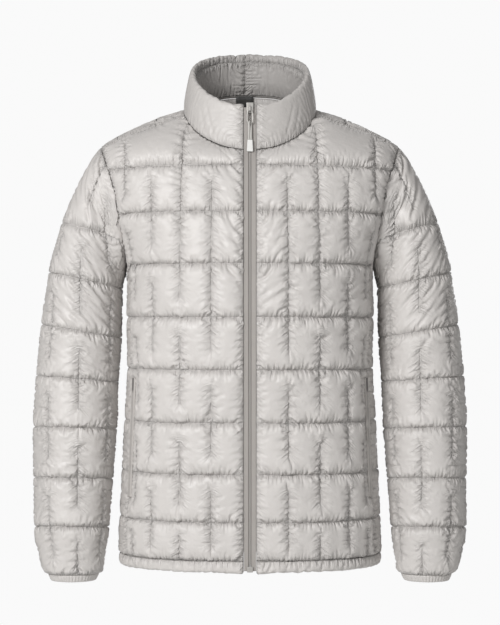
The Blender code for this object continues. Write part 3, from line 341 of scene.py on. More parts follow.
def armhole(degrees):
    """Point of the armhole: 0 under the arm, 90 in front, 180 on the shoulder, 270 behind."""
    a = np.radians(degrees)
    half = np.where(np.sin(a) > 0, ARM_FRONT, ARM_BACK)
    y = ARM_CENTRE_Y - half * np.sin(a)
    z = ARM_CENTRE_Z - ARM_HALF_HEIGHT * np.cos(a)
    return points(body_x(y, z), y, z)


def armhole_degrees(z):
    """Where on the front half of the armhole a height lies."""
    return np.degrees(np.arccos(np.clip((ARM_CENTRE_Z - z) / ARM_HALF_HEIGHT, -1, 1)))


def seam_y(z, behind):
    """y of the side seam, or of the armhole above it."""
    on_seam = smooth(SIDE_SEAMS[0], SIDE_SEAMS[2 if behind else 1], z)
    degrees = armhole_degrees(z)
    on_hole = armhole(360 - degrees if behind else degrees)[..., 1]
    return np.where(z <= SIDE_TOP, on_seam, on_hole)


def panel_row(z, columns, behind):
    """Level curve of a front or back: whole column numbers are stitch lines, 5 is the edge."""
    depth = smooth(BODY[0], BODY[3 if behind else 2], z)
    power = BACK_ROUND if behind else FRONT_ROUND
    edge = abs(float(seam_y(np.array(z), behind)))
    turn = np.linspace(0, np.arccos((edge / depth) ** (power / 2)), 400)
    y = depth * np.cos(turn) ** (2 / power)
    x = smooth(BODY[0], BODY[1], z) * np.sin(turn) ** (2 / power)
    curve = points(x, y if behind else -y, z)
    total = run_along(curve)[-1]
    lines = (0.0 if behind else ZIP_HALF) + COLUMN_PITCH * np.interp(z, *NARROWED) * np.arange(5)
    lines[4] = min(lines[4], total - EDGE_COLUMN)
    return along(curve, np.interp(columns, np.arange(6), [*lines, total]))


def neck(degrees):
    """Point of the neck seam, an ellipse seen from above: 0 in front, 90 on the left, 180 behind."""
    a = np.radians(degrees)
    height = smooth(*NECK, 180 - np.abs(180 - degrees))
    return points(NECK_HALF * np.sin(a), NECK_CENTRE - NECK_DEPTH * np.cos(a), height)


def shoulder_line(share, behind):
    """The shoulder strip's front or back seam, from the neck to the armhole, a little arched."""
    start = neck(np.array(YOKE_NECK[behind]))
    end = armhole(np.array(YOKE_ARM[behind]))
    share = np.asarray(share, float)[..., None]
    return start + (end - start) * share + points(0.0, 0.0, YOKE_ARCH) * share * (1 - share)


def top_edge(columns, behind):
    """Upper edge of a front or back: the neck seam up to column 2, then the shoulder seam."""
    centre = 180.0 if behind else np.degrees(np.arcsin(ZIP_HALF / NECK_HALF))
    degrees = np.interp(columns, [0, 1, 2], [centre, FIRST_LINE[behind], YOKE_NECK[behind]])
    share = np.interp(columns, [2, 3, 4, 5], YOKE_SHARES)
    return np.where((columns <= 2)[:, None], neck(degrees), shoulder_line(share, behind))


def shoulder_slope(columns, behind):
    """Direction, towards the crest, in which a panel meets its upper edge."""
    at_neck, on_shoulder = np.array(CREST_SLOPES[behind])
    over = np.clip((columns - 1.2) / 1.2, 0, 1)[:, None]
    return unit((1 - over) * at_neck + over * on_shoulder)


def top_zone(columns, shares, behind):
    """Panel above the highest level stitch: cubics up to its edge, the last one on the armhole.

    shares has a row of shares of the way up for each grid row, one for each column. The outer half
    of the columns is drawn to the armhole.
    """
    low = panel_row(YOKE_LEVEL, columns, behind)
    below = panel_row(YOKE_LEVEL - 6.0, columns, behind)  # a little lower, for the direction
    high = top_edge(columns, behind)
    reach = np.linalg.norm(high - low, axis=-1, keepdims=True)
    leave = unit(low - below) * reach
    arrive = shoulder_slope(columns, behind) * reach
    zone = hermite(low, high, leave, arrive, shares[..., None])
    first = float(armhole_degrees(np.array(YOKE_LEVEL)))
    first = 360 - first if behind else first
    edge = armhole(first + (YOKE_ARM[behind] - first) * shares[:, -1])
    pull = np.clip((columns - 2.5) / 2.5, 0, 1) ** 2
    return zone + pull[None, :, None] * (edge - zone[:, -1])[:, None]


def top_reach(columns, behind):
    """Distance from the highest level stitch to a panel's upper edge."""
    return np.linalg.norm(top_edge(columns, behind) - panel_row(YOKE_LEVEL, columns, behind), axis=-1)


def snapped(shares, reach):
    """Shares of the way up, moved a little so that one row of each column lies on the next stitch."""
    steps = len(shares) - 1
    wanted = CAP_ROW / reach * steps
    nearest = np.round(wanted)
    near = np.clip(1 - np.abs(np.arange(steps + 1)[:, None] - nearest) / 4, 0, 1)
    return shares[:, None] + near * (wanted < steps - 2) * (wanted - nearest) / steps


def body_panel(columns, behind, top_steps):
    """Grid of a half front or half back, from the hem seam up to the neck and shoulder."""
    rows = np.stack([panel_row(z, columns, behind) for z in levels(ROW)])
    shares = snapped(even(top_steps), top_reach(columns, behind))[1:]
    return np.concatenate([rows, top_zone(columns, shares, behind)])


def side_panel(columns):
    """Grid of the side panel, whose upper edge is the lower part of the armhole."""
    heights = levels(ROW)
    heights = heights[heights <= SIDE_TOP + 1.0]
    heights = heights[: (len(heights) - 1) // COARSE * COARSE + 1]
    rows = []
    for z in heights[heights <= SIDE_LEVEL]:
        y = np.linspace(*(float(seam_y(np.array(z), behind)) for behind in (False, True)), 120)
        curve = points(body_x(y, z), y, z)
        rows.append(along(curve, columns * run_along(curve)[-1]))
    front_end = float(armhole_degrees(np.array(SIDE_TOP)))
    rim = armhole(front_end * (1 - 2 * columns))
    low = rows[-1]
    for share in (heights[heights > SIDE_LEVEL] - SIDE_LEVEL) / (heights[-1] - SIDE_LEVEL):
        _, y, z = (low + (rim - low) * share).T
        rows.append(points(body_x(y, z), y, z))
    return np.stack(rows)


def yoke_panel(columns, shares):
    """Grid of the shoulder strip, from its front seam over the crest to its back seam."""
    front, back = top_edge(columns, False), top_edge(columns, True)
    reach = np.linalg.norm(back - front, axis=-1, keepdims=True)
    leave = shoulder_slope(columns, False) * reach
    arrive = -shoulder_slope(columns, True) * reach
    strip = hermite(front, back, leave, arrive, shares[:, None, None])
    for at, end, pull in (
        (0, neck(np.interp(shares, [0, 1], YOKE_NECK)), np.clip((4 - columns) / 2, 0, 1)),
        (-1, armhole(np.interp(shares, [0, 1], YOKE_ARM)), np.clip((columns - 3) / 2, 0, 1)),
    ):
        strip = strip + pull[None, :, None] ** 2 * (end - strip[:, at])[:, None]
    return strip


# ---- the sleeve's surface ------------------------------------------------------------------


def ring(row, turns):
    """Ring of the sleeve between its inner and outer point, by degrees from the inner side forward."""
    x_in, z_in, x_out, z_out, y, half_depth, _, slope = row
    a = np.radians(turns)
    side = (1 - np.cos(a)) / 2
    forward = half_depth * np.sin(a)
    z = z_in + (z_out - z_in) * side + slope * forward
    return points(x_in + (x_out - x_in) * side, y - forward, z)


def even_turns(row, shares):
    """Degrees at even lengths round a ring, from its first stitch line."""
    turns = row[6] + even(720, 360.0)
    run = run_along(ring(row, turns))
    return np.interp(shares * run[-1], run, turns)


def sleeve_grid(shares):
    """Grid of the sleeve from the cuff seam up to the armhole: tube through the rings, then the cap."""
    rings = np.stack([ring(row, even_turns(row, shares)) for row in SLEEVE])
    knots = run_along(rings.mean(1))
    at = np.interp(even(ROW * (len(knots) - 1), len(knots) - 1.0), np.arange(len(knots)), knots)
    tube = np.stack([smooth(knots, column, at) for column in rings.reshape(len(knots), -1).T], axis=1)
    tube = tube.reshape(len(at), len(shares), 3)
    first = tube[0]
    hole = armhole(smooth(*SLEEVE_LINES, shares * 8))
    up = unit(first - tube[COARSE])
    reach = np.linalg.norm(hole - first, axis=-1, keepdims=True)
    turn = np.radians(even_turns(SLEEVE[0], shares))[:, None]
    top = (1 - np.cos(turn)) / 2
    arrive = unit(np.array(CAP_UNDER) * (1 - top) + np.array(CAP_OVER) * top)
    arrive = unit(arrive + points(0.0, CAP_BACKWARD, 0.0) * np.sin(turn))
    row = np.minimum(CAP_ROW, CAP_SHARE * reach[:, 0]) / reach[:, 0]
    t = np.concatenate([row * even(ROW)[1:, None], row + (1 - row) * even(ROW)[1:, None]])[..., None]
    cap = hermite(first, hole, up * reach * CAP_FULLNESS, arrive * reach, t)
    return np.concatenate([tube[::-1], cap])


# ---- cloth over filling --------------------------------------------------------------------


def facing_of(grid):
    """Outward unit normals of a grid whose rows run up and whose columns run anticlockwise."""
    return unit(np.cross(np.gradient(grid, axis=1), np.gradient(grid, axis=0)))


def speckle(shape, cell, rng):
    """Random values between -1 and 1 at every cell-th point, straight lines between them."""
    rows, columns = (int(np.ceil(n / cell)) + 2 for n in shape)
    knots = rng.uniform(-1, 1, (rows, columns))
    r, c = (np.arange(n) / cell + rng.uniform(0, 1) for n in shape)
    i, j = r.astype(int), c.astype(int)
    r, c = (r - i)[:, None], (c - j)[None]
    low = knots[i][:, j] * (1 - c) + knots[i][:, j + 1] * c
    high = knots[i + 1][:, j] * (1 - c) + knots[i + 1][:, j + 1] * c
    return low * (1 - r) + high * r


def finer(values):
    """Twice as fine a grid, with straight lines between the old points."""
    for axis in (0, 1):
        values = np.moveaxis(values, axis, 0)
        wide = np.empty((2 * len(values) - 1, *values.shape[1:]), values.dtype)
        wide[::2] = values
        wide[1::2] = (values[1:] + values[:-1]) / 2
        values = np.moveaxis(wide, 0, axis)
    return values


def draw_together(cloth, free, link):
    """Moves the two ends of every thread of a link towards its own length. A slack one gives way."""
    first, second, lengths, slack = link
    a, b = cloth[first], cloth[second]
    apart = b - a
    now = np.sqrt(np.einsum("ijk,ijk->ij", apart, apart)) + 1e-6
    error = (now - lengths) / now
    error = np.where(error < 0, error * slack, error)
    weight_a, weight_b = free[first], free[second]
    error /= np.maximum(weight_a + weight_b, 1.0)
    a += (error * weight_a)[..., None] * apart
    b -= (error * weight_b)[..., None] * apart


def threads(place, crest, wide, tall, skew):
    """Links of a grid: level, upright and slanted threads, in sets that share no point.

    wide and tall lengthen the level and upright threads, and skew lengthens one slant at the cost
    of the other, so that the cloth wrinkles at a slant.
    """
    rows, columns = place.shape[:2]
    level = np.linalg.norm(np.diff(crest, axis=1), axis=-1) * (1 + (wide[:, 1:] + wide[:, :-1]) / 2)
    upright = np.linalg.norm(np.diff(crest, axis=0), axis=-1) * (1 + (tall[1:] + tall[:-1]) / 2)
    grow = 1 + (wide[1:, 1:] + tall[1:, 1:]) / 2
    everything, left, right = slice(None), slice(0, -1), slice(1, None)
    links = []
    for start in (0, 1):
        a, b = slice(start, columns - 1, 2), slice(start + 1, columns, 2)
        links.append(((everything, a), (everything, b), level[:, start::2], SLACK))
        a, b = slice(start, rows - 1, 2), slice(start + 1, rows, 2)
        links.append(((a, everything), (b, everything), upright[start::2], SLACK))
        for one, other, sign in ((left, right, 1), (right, left, -1)):
            slant = np.linalg.norm(crest[1:, other] - crest[:-1, one], axis=-1)
            slant *= grow + sign * skew[1:, 1:]
            links.append(((a, one), (b, other), slant[start::2], SLANT_SLACK))
    return [(a, b, lengths.astype(np.float32), slack) for a, b, lengths, slack in links]


def middle_of(cloth):
    """How far each inner point is from the middle of its four neighbours."""
    off = np.zeros_like(cloth)
    off[1:-1, 1:-1] = (cloth[2:, 1:-1] + cloth[:-2, 1:-1] + cloth[1:-1, 2:] + cloth[1:-1, :-2]) / 4
    off[1:-1, 1:-1] -= cloth[1:-1, 1:-1]
    return off


def cloth_normals(cloth):
    """Unit normals of a cloth's grid, from the points on both sides of each one."""
    across, upward = np.empty_like(cloth), np.empty_like(cloth)
    across[:, 1:-1] = cloth[:, 2:] - cloth[:, :-2]
    across[:, 0], across[:, -1] = across[:, 1], across[:, -2]
    upward[1:-1] = cloth[2:] - cloth[:-2]
    upward[0], upward[-1] = upward[1], upward[-2]
    normal = np.cross(across, upward)
    return normal / (np.sqrt(np.einsum("ijk,ijk->ij", normal, normal))[..., None] + 1e-6)


def fill_out(base, held, anchor, cap, wide, tall, skew, gathers, seed):
    """Cloth panel swollen by its filling.

    The cloth is as long as the base raised by SWELL_SHARE of cap, and longer by the shares wide
    (across) and tall (up) and by the gathers near stitches. Points where held is true stay at the
    height anchor over the base. The rest are pushed out along the cloth's normals by a filling that
    gives less the nearer they are to cap over the base, drawn back to the cloth's lengths and
    smoothed by its stiffness. The work goes from coarse to fine.
    """
    rng = np.random.default_rng(seed)
    facing = facing_of(base)
    moved = None
    stride = COARSE
    for number, (count, force, bending) in enumerate(zip(SETTLE_STEPS, PUSH, STIFFNESS)):
        pick = (slice(None, None, stride), slice(None, None, stride))
        place, out, top = (part[pick].astype(np.float32) for part in (base, facing, cap))
        free = (1.0 - held[pick]).astype(np.float32)
        crest = place + out * (SWELL_SHARE * top)[..., None]
        across = wide + LEVEL_GATHER[number] * gathers[0]
        upward = tall + UPRIGHT_GATHER[number] * gathers[1]
        links = threads(place, crest, across[pick], upward[pick], skew[pick])
        moved = out * (0.5 * top)[..., None] if moved is None else finer(moved)
        moved = moved * free[..., None] + out * (anchor[pick] * (1 - free))[..., None]
        shake = speckle(free.shape, 2, rng) * SHAKE * free
        cloth = (place + moved + out * shake[..., None]).astype(np.float32)
        before = cloth.copy()
        for _ in range(count):
            speed = (cloth - before) * MOTION_KEPT
            before = cloth.copy()
            lift = np.einsum("ijk,ijk->ij", cloth - place, out)
            press = force * np.clip(1 - lift / top, -0.5, 1)
            cloth += (speed + cloth_normals(cloth) * press[..., None]) * free[..., None]
            for _ in range(THREAD_TURNS):
                for link in links:
                    draw_together(cloth, free, link)
            cloth -= middle_of(middle_of(cloth)) * (free * bending)[..., None]
            lift = np.einsum("ijk,ijk->ij", cloth - place, out)
            cloth += out * ((np.clip(lift, 0.0, HIGHEST * top) - lift) * free)[..., None]
        moved = cloth - place
        stride //= 2
    return base + moved


# ---- panels --------------------------------------------------------------------------------


def set_in(grid):
    """Grid whose edges stay half a seam's gap inside the seam lines."""
    grid = grid.copy()
    for lines in (grid, grid.swapaxes(0, 1)):
        for end, inner in ((0, 1), (-1, -2)):
            lines[end] += unit(lines[inner] - lines[end]) * (SEAM_GAP / 2)
    return grid


def framed(held):
    """Also holds the four edges."""
    held[[0, -1]] = True
    held[:, [0, -1]] = True
    return held


def slid(grid, drop):
    """Grid whose points slide down along their own columns by drop, in grid rows."""
    at = np.clip(np.arange(len(grid))[:, None] - drop, 0, len(grid) - 1.001)
    low = at.astype(int)
    part = (at - low)[..., None]
    take = np.arange(grid.shape[1])[None]
    return grid[low, take] * (1 - part) + grid[low + 1, take] * part


def other_side(panel):
    """The same panel on the other half of the body."""
    flips = {"grid": (-1, 1, 1), "skew": -1}
    return {key: value[:, ::-1] * flips.get(key, 1) for key, value in panel.items()}


def run_over(grid, axis):
    """Length along a grid up to each point: up its columns (axis 0) or along its rows (axis 1)."""
    steps = np.linalg.norm(np.diff(grid, axis=axis), axis=-1)
    start = np.zeros_like(np.take(steps, [0], axis))
    return np.concatenate([start, np.cumsum(steps, axis=axis)], axis=axis)


def to_edges(grid, axis):
    """Distance to the nearer of the two edges that close a grid's columns (axis 0) or rows (axis 1)."""
    run = run_over(grid, axis)
    return np.minimum(run, np.take(run, [-1], axis) - run)


def to_border(grid):
    """Distance to the nearest of a grid's four edges."""
    return np.minimum(to_edges(grid, 0), to_edges(grid, 1))


def quilted(grid, rows, columns, arms, cap, wide=0.045, tall=0.035, skew=0.0, folds=(), pitch=CAP_ROW):
    """A panel with its stitches: grid, where it is held, how high it may swell and its spare cloth.

    rows and columns number the stitch lines over the grid. arms are the upright stitches: line, from
    row, to row. folds are ways over the cloth, in lines and rows, with the depth of their valleys.
    """
    rows, columns = np.broadcast_arrays(rows, columns)
    level = np.abs(rows - np.round(rows))
    held = level <= 0.5 / ROW
    upright = to_edges(grid, 1)
    to_end, around, number = np.full(rows.shape, FAR), np.zeros(rows.shape), np.zeros(rows.shape)
    for count, (line, start, end) in enumerate(arms):
        held |= (np.abs(columns - line) < 0.4 / COLUMN) & (rows > start) & (rows < end)
        aside = (columns - line) * COLUMN_PITCH
        past_end = np.maximum(np.maximum(start - rows, rows - end), 0) * pitch
        upright = np.minimum(upright, np.hypot(aside, past_end))
        for beyond in ((start - rows) * pitch, (rows - end) * pitch):
            nearer = np.hypot(aside, beyond) < to_end
            to_end = np.where(nearer, np.hypot(aside, beyond), to_end)
            around = np.where(nearer, np.arctan2(aside, beyond), around)
            number = np.where(nearer, count + 0.5 * (beyond[0, 0] > 0), number)
    anchor = ARM_RISE * cap * np.clip(level / 0.38, 0, 1) * (to_border(grid) > 0.1)
    level = np.minimum(level * pitch, to_edges(grid, 0))
    valley = np.zeros(rows.shape)
    across, up = columns * COLUMN_PITCH, rows * pitch
    for way, depth in folds:
        valley += depth * fold_valley(across, up, np.array(way) * (COLUMN_PITCH, pitch))
    spare = {"wide": wide, "tall": tall, "skew": skew, "cap": cap, "ruffled": 1.0}
    spare = {key: np.broadcast_to(value, rows.shape) for key, value in spare.items()}
    run = {"across": across, "up": up, "level": level, "upright": upright}
    star = {"to_end": to_end, "around": around, "number": number}
    star.update(tier=np.floor(2 * rows), bay=np.floor(2 * columns))
    return {"grid": grid, "held": framed(held), "anchor": anchor, "valley": valley, **star, **run, **spare}


def crossings(lines, first, last, parity=0):
    """Upright stitches: each line crosses every second level line between first and last."""
    rows = range(first, last + 1)
    crossed = [(line, row) for line in lines for row in rows if (row + line + parity) % 2 == 0]
    return [(line, row - ARM_SHARE, row + ARM_SHARE) for line, row in crossed]


def fold_valley(across, up, way):
    """Valley along a way over the cloth: deepest on the way, with a low ridge beside it, 0 far off.

    The profile is a bell curve, less a share of a wider one, and it fades towards both ends.
    """
    place = np.stack(np.broadcast_arrays(across, up), axis=-1)
    nearest, share = np.full(place.shape[:2], FAR), np.zeros(place.shape[:2])
    count = len(way) - 1
    for k in range(count):
        start, step = way[k], way[k + 1] - way[k]
        t = np.clip(((place - start) @ step) / (step @ step), 0, 1)
        away = np.linalg.norm(place - start - t[..., None] * step, axis=-1)
        share = np.where(away < nearest, (k + t) / count, share)
        nearest = np.minimum(nearest, away)
    fade = np.clip(1.6 * (4 * share * (1 - share)), 0, 1)
    return fade * (np.exp(-((nearest / VALLEY) ** 2)) - RIDGE_SHARE * np.exp(-((nearest / RIDGE) ** 2)))


def wavy(at, rng):
    """Smooth noise along a line: random values at whole numbers, half cosine waves between them."""
    count = 4096
    knots = rng.uniform(-1, 1, count)
    low = np.floor(at).astype(int)
    t = (1 - np.cos(np.pi * (at - low))) / 2
    return knots[low % count] * (1 - t) + knots[(low + 1) % count] * t


def furrowed(phase, rng):
    """Sharp furrows, one deep, where noise along a phase passes zero, and flat ground between them."""
    return np.clip(np.abs(wavy(phase, rng)) * 2.4, 0, 1) - 0.75


def ruffles(panel, rng):
    """Height of the ruffles beside stitches and of the stars round the upright stitches' ends.

    A furrow beside a stitch leaves it at a slant that changes slowly along the stitch. It starts at
    the stitch and fades out over the reach. The furrows of a star are noise of the angle round the
    stitch's end. The number of a tier, bay or end shifts the noise, so that no two are alike.
    """
    height = np.zeros(panel["held"].shape)
    for away_key, along_key, number_key, kind, reach in (
        ("level", "across", "tier", LEVEL_RUFFLE, LEVEL_REACH),
        ("upright", "up", "bay", UPRIGHT_RUFFLE, UPRIGHT_REACH),
    ):
        depth, pitch, lean, turning = kind
        away, at = panel[away_key], panel[along_key]
        number = panel[number_key] * 611.0
        slant = lean + turning * wavy(at / SLANT_RUN + number, rng)
        furrows = furrowed((at + slant * away) / pitch + number, rng)
        uneven = 0.7 + 0.5 * wavy(at / UNEVEN_RUN + number, rng)
        reached = np.clip(away / 2.4, 0, 1) * np.exp(-((away / reach) ** 2))
        height += depth * furrows * uneven * reached
    to_end, around = panel["to_end"], panel["around"]
    rays = furrowed(around * STAR_RAYS / (2 * np.pi) + panel["number"] * 94.0 + 40.0, rng)
    reached = np.clip(to_end / 2.5, 0, 1) * np.exp(-((to_end / STAR_REACH) ** 2))
    return height + STAR * rays * reached * np.clip(3.0 - np.abs(around), 0, 1)


def swollen(panel, seed):
    """The panel's cloth over its filling, and its lining.

    Relief is laid over the settled cloth: ruffles, less the valleys of folds. It goes to nothing at
    stitches and edges, and never deeper than most of the room under the cloth.
    """
    base = set_in(panel["grid"])
    rng = np.random.default_rng(seed)

    def varied(cell, strength):
        return strength * speckle(panel["held"].shape, cell, rng)

    wide = panel["wide"] * (1 + varied(*SPARE_NOISE))
    tall = panel["tall"] * (1 + varied(*SPARE_NOISE))
    skew = panel["skew"] + varied(*SKEW_NOISE)
    calm = np.interp(to_round_seams(panel["grid"]), (0.0, CALM_REACH), (CALM, 1.0))
    gathers = []
    for away, reach in ((panel["level"], LEVEL_REACH), (panel["upright"], UPRIGHT_REACH)):
        uneven = 1 + varied(*GATHER_NOISE)
        gathers.append(calm * (uneven * np.exp(-((away / reach) ** 2))))
    inside = np.minimum(panel["level"], panel["upright"])
    cap = panel["cap"] * calm * (1 + varied(*PUFF_NOISE))
    border = to_border(panel["grid"])
    stray = varied(*STRAY_NOISE) * np.clip(border / 6.0, 0, 1)
    base = base + unit(np.gradient(base, axis=0)) * stray[..., None]
    outer = fill_out(base, panel["held"], panel["anchor"], cap, wide, tall, skew, gathers, seed)
    relief = (panel["ruffled"] * ruffles(panel, rng) - panel["valley"]) * np.clip(inside / 2.0, 0, 1)
    relief *= calm * np.clip(border / 4.0, 0, 1)
    room = np.einsum("ijk,ijk->ij", outer - base, facing_of(base))
    outer = outer + facing_of(outer) * np.maximum(relief, -0.8 * np.maximum(room, 0))[..., None]
    return outer, base - facing_of(base) * SHEET


def to_round_seams(grid):
    """Distance to the nearer of the armhole and the neck seam, on either half of the body."""
    place = np.abs(grid * (1, 0, 0)) + grid * (0, 1, 1)
    away = np.full(grid.shape[:2], FAR)
    for seam in (armhole, neck):
        for degrees in range(0, 360, 3):
            away = np.minimum(away, np.linalg.norm(place - seam(float(degrees)), axis=-1))
    return away


def add_wall(name, node, outer, inner, material, run):
    """Closed wall between the swollen face and a coarser lining. run holds its cloth attributes."""
    inner = inner[::COARSE, ::COARSE]
    outside = np.arange(outer[..., 0].size).reshape(outer.shape[:2])
    inside = outside.size + np.arange(inner[..., 0].size).reshape(inner.shape[:2])
    quads = [squares(outside), squares(inside)[:, ::-1]]
    triangles = [
        rim(outside[0], inside[0]),
        rim(outside[-1, ::-1], inside[-1, ::-1]),
        rim(outside[::-1, 0], inside[::-1, 0]),
        rim(outside[:, -1], inside[:, -1]),
    ]
    places = np.concatenate([outer.reshape(-1, 3), inner.reshape(-1, 3)])
    piece = add_mesh(name, places, np.concatenate(quads), np.concatenate(triangles), material)
    run = {key: [run[key].ravel(), run[key][::COARSE, ::COARSE].ravel()] for key in CLOTH_RUN}
    mark(piece.data, {key: np.concatenate(values) for key, values in run.items()})
    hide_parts(node)
    return piece


def mark(mesh, run):
    """Gives a mesh its place on the cloth as a UV map, in metres, and its distances to stitches."""
    corners = np.empty(len(mesh.loops), np.int32)
    mesh.loops.foreach_get("vertex_index", corners)
    uv = np.stack([run["across"], run["up"]], axis=-1)[corners] * MM
    mesh.uv_layers.new(name="cloth").data.foreach_set("uv", uv.astype(np.float32).ravel())
    for key in ("level", "upright"):
        values = np.minimum(run[key], STITCH_FELT).astype(np.float32)
        mesh.attributes.new(key, "FLOAT", "POINT").data.foreach_set("value", values)


def squares(index):
    """Four-sided faces of a grid of point numbers."""
    return np.stack([index[:-1, :-1], index[:-1, 1:], index[1:, 1:], index[1:, :-1]], axis=-1).reshape(-1, 4)


def rim(fine, coarse):
    """Triangles between a fine edge and a coarse one with COARSE times fewer steps."""
    start = np.arange(len(coarse) - 1) * COARSE
    p, q = coarse[:-1], coarse[1:]
    half = COARSE // 2
    faces = [np.stack([fine[start + k], p, fine[start + k + 1]], axis=-1) for k in range(half)]
    faces.append(np.stack([fine[start + half], p, q], axis=-1))
    faces += [np.stack([fine[start + k], q, fine[start + k + 1]], axis=-1) for k in range(half, COARSE)]
    return np.concatenate(faces)


def add_mesh(name, places, quads, triangles, material):
    """Mesh from points in millimetres and arrays of four-sided and three-sided faces."""
    mesh = bpy.data.meshes.new(name)
    corners = np.concatenate([quads.ravel(), triangles.ravel()]).astype(np.int32)
    sizes = np.concatenate([np.full(len(quads), 4), np.full(len(triangles), 3)]).astype(np.int32)
    mesh.vertices.add(len(places))
    mesh.vertices.foreach_set("co", (places * MM).astype(np.float32).ravel())
    mesh.loops.add(len(corners))
    mesh.loops.foreach_set("vertex_index", corners)
    mesh.polygons.add(len(sizes))
    mesh.polygons.foreach_set("loop_start", np.concatenate([[0], np.cumsum(sizes)[:-1]]).astype(np.int32))
    mesh.update(calc_edges=True)
    mesh.shade_smooth()
    mesh.materials.append(material)
    piece = bpy.data.objects.new(name, mesh)
    bpy.context.scene.collection.objects.link(piece)
    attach(piece, "root")
    return piece


def add_pillow(name, node, strip, material, run):
    """Closed padded form from one cloth that runs up its one side, over a fold and down the other."""
    index = np.arange(strip[..., 0].size).reshape(strip.shape[:2])
    half = len(index) // 2
    quads = [squares(index), squares(index[[-1, 0]])]
    for end, order in ((0, 1), (-1, -1)):
        pairs = np.stack([index[: half + 1, end], index[::-1, end][: half + 1]])
        quads.append(squares(pairs)[:, ::order])
    quads = np.concatenate(quads)
    ordered = np.sort(quads, axis=1)
    whole = (ordered[:, 1:] != ordered[:, :-1]).all(1)
    slim = np.array([list(dict.fromkeys(face)) for face in quads[~whole].tolist()]).reshape(-1, 3)
    piece = add_mesh(name, strip.reshape(-1, 3), quads[whole], slim, material)
    mark(piece.data, {key: run[key].ravel() for key in CLOTH_RUN})
    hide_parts(node)
    return piece


def folded(outer, inner, bulge):
    """Strip up an outer grid, over a round fold of the given bulge, and down an inner one."""
    turn = even(FOLD_STEPS, np.pi)[1:-1, None, None]
    top, back = outer[-1], inner[-1]
    upward = unit(top - outer[-2] + back - inner[-2])
    fold = (top + back) / 2 + (top - back) / 2 * np.cos(turn) + upward * bulge * np.sin(turn)
    return np.concatenate([outer, fold, inner[::-1]])


def level_rows():
    """Numbers of the grid rows up to the highest level stitch, in quilted rows."""
    return np.arange(8 * ROW + 1) / ROW


def front_and_side():
    """Front and side panel of one half, the front's edge at the zip, and the lower edge of both.

    The side panel's ends are moved onto the front's and the back's, so that the seams meet. The
    front's rows droop towards the side, and its cloth is pulled at a slant near the zip.
    """
    half = even(5 * COLUMN, 5.0)
    front = body_panel(half, False, ROW)
    across = even(2 * COLUMN)
    side = side_panel(across)
    share = across[None, :, None]
    behind = np.stack([panel_row(z, np.array([5.0]), True)[0] for z in levels(ROW)[: len(side)]])
    side += (front[: len(side), -1:] - side[:, :1]) * (1 - share)
    side += (behind[:, None] - side[:, -1:]) * share
    zip_edge, low_edge = front[:, 0], np.concatenate([front[0], side[0, 1:]])

    rows = np.concatenate([level_rows(), 8 + even(ROW)[1:]])[:, None]
    over = np.clip((half - DROOP_FROM) / DROOP_OVER, 0, 1) ** 1.5
    front = slid(front, np.interp(rows, *FRONT_DROOP) * over)
    pulled = FRONT_DRAG * np.clip(1.4 - half, 0, 1) * np.interp(rows, *FRONT_DRAGGED)
    arms = [*crossings(range(1, 5), 0, 8), *BRIDGED]
    front_cap = by_pocket(front)
    front = quilted(front, rows, half, arms, front_cap, skew=pulled, folds=FRONT_FOLDS)
    side_rows = level_rows()[: len(side), None]
    side = quilted(side, side_rows, 2 * across, crossings((1,), 0, 8, parity=1), SIDE_CAP, tall=SIDE_SPARE)
    return front, side, zip_edge, low_edge


def by_pocket(grid):
    """Height of the front's puffs, lower beside the pocket zip and 12 mm beyond its ends."""
    run = run_over(grid, 1)
    near = np.interp(run[:, [-1]] - run, POCKET_FREE, (1, 0))
    z = grid[..., 2]
    beside = np.interp(z, (POCKET_LOW - 12, POCKET_LOW, POCKET_HIGH, POCKET_HIGH + 12), (0, 1, 1, 0))
    return BODY_CAP + (POCKET_CAP - BODY_CAP) * near * beside


def shoulder_strip():
    """Strip over the shoulder: cubics from the front's edge to the back's, with one short stitch."""
    across = 2 + even(3 * COLUMN, 3.0)
    shares = even(ROW // 2)
    strip = yoke_panel(across, shares)
    return quilted(strip, shares[:, None], across, [(3, 0.0, 0.6)], YOKE_CAP, pitch=YOKE_DEPTH)


def whole_back():
    """Back panel, both halves in one, and half of its lower edge."""
    half = even(5 * COLUMN, 5.0)
    steps = ROW + ROW // 2
    reach = top_reach(half, True)
    grid = body_panel(half, True, steps)
    top_rows = 8 + snapped(even(steps), reach)[1:] * reach / CAP_ROW
    rows = np.concatenate([np.repeat(level_rows()[:, None], len(half), axis=1), top_rows])
    mirrored = grid[:, 1:] * (-1, 1, 1)
    grid, low_edge = np.concatenate([grid[:, ::-1], mirrored], axis=1), grid[0, -2::-1]
    rows = np.concatenate([rows[:, ::-1], rows[:, 1:]], axis=1)
    columns = np.concatenate([half[::-1], half[1:]])
    return quilted(grid, rows, columns, crossings(range(5), 0, 9), BODY_CAP), low_edge


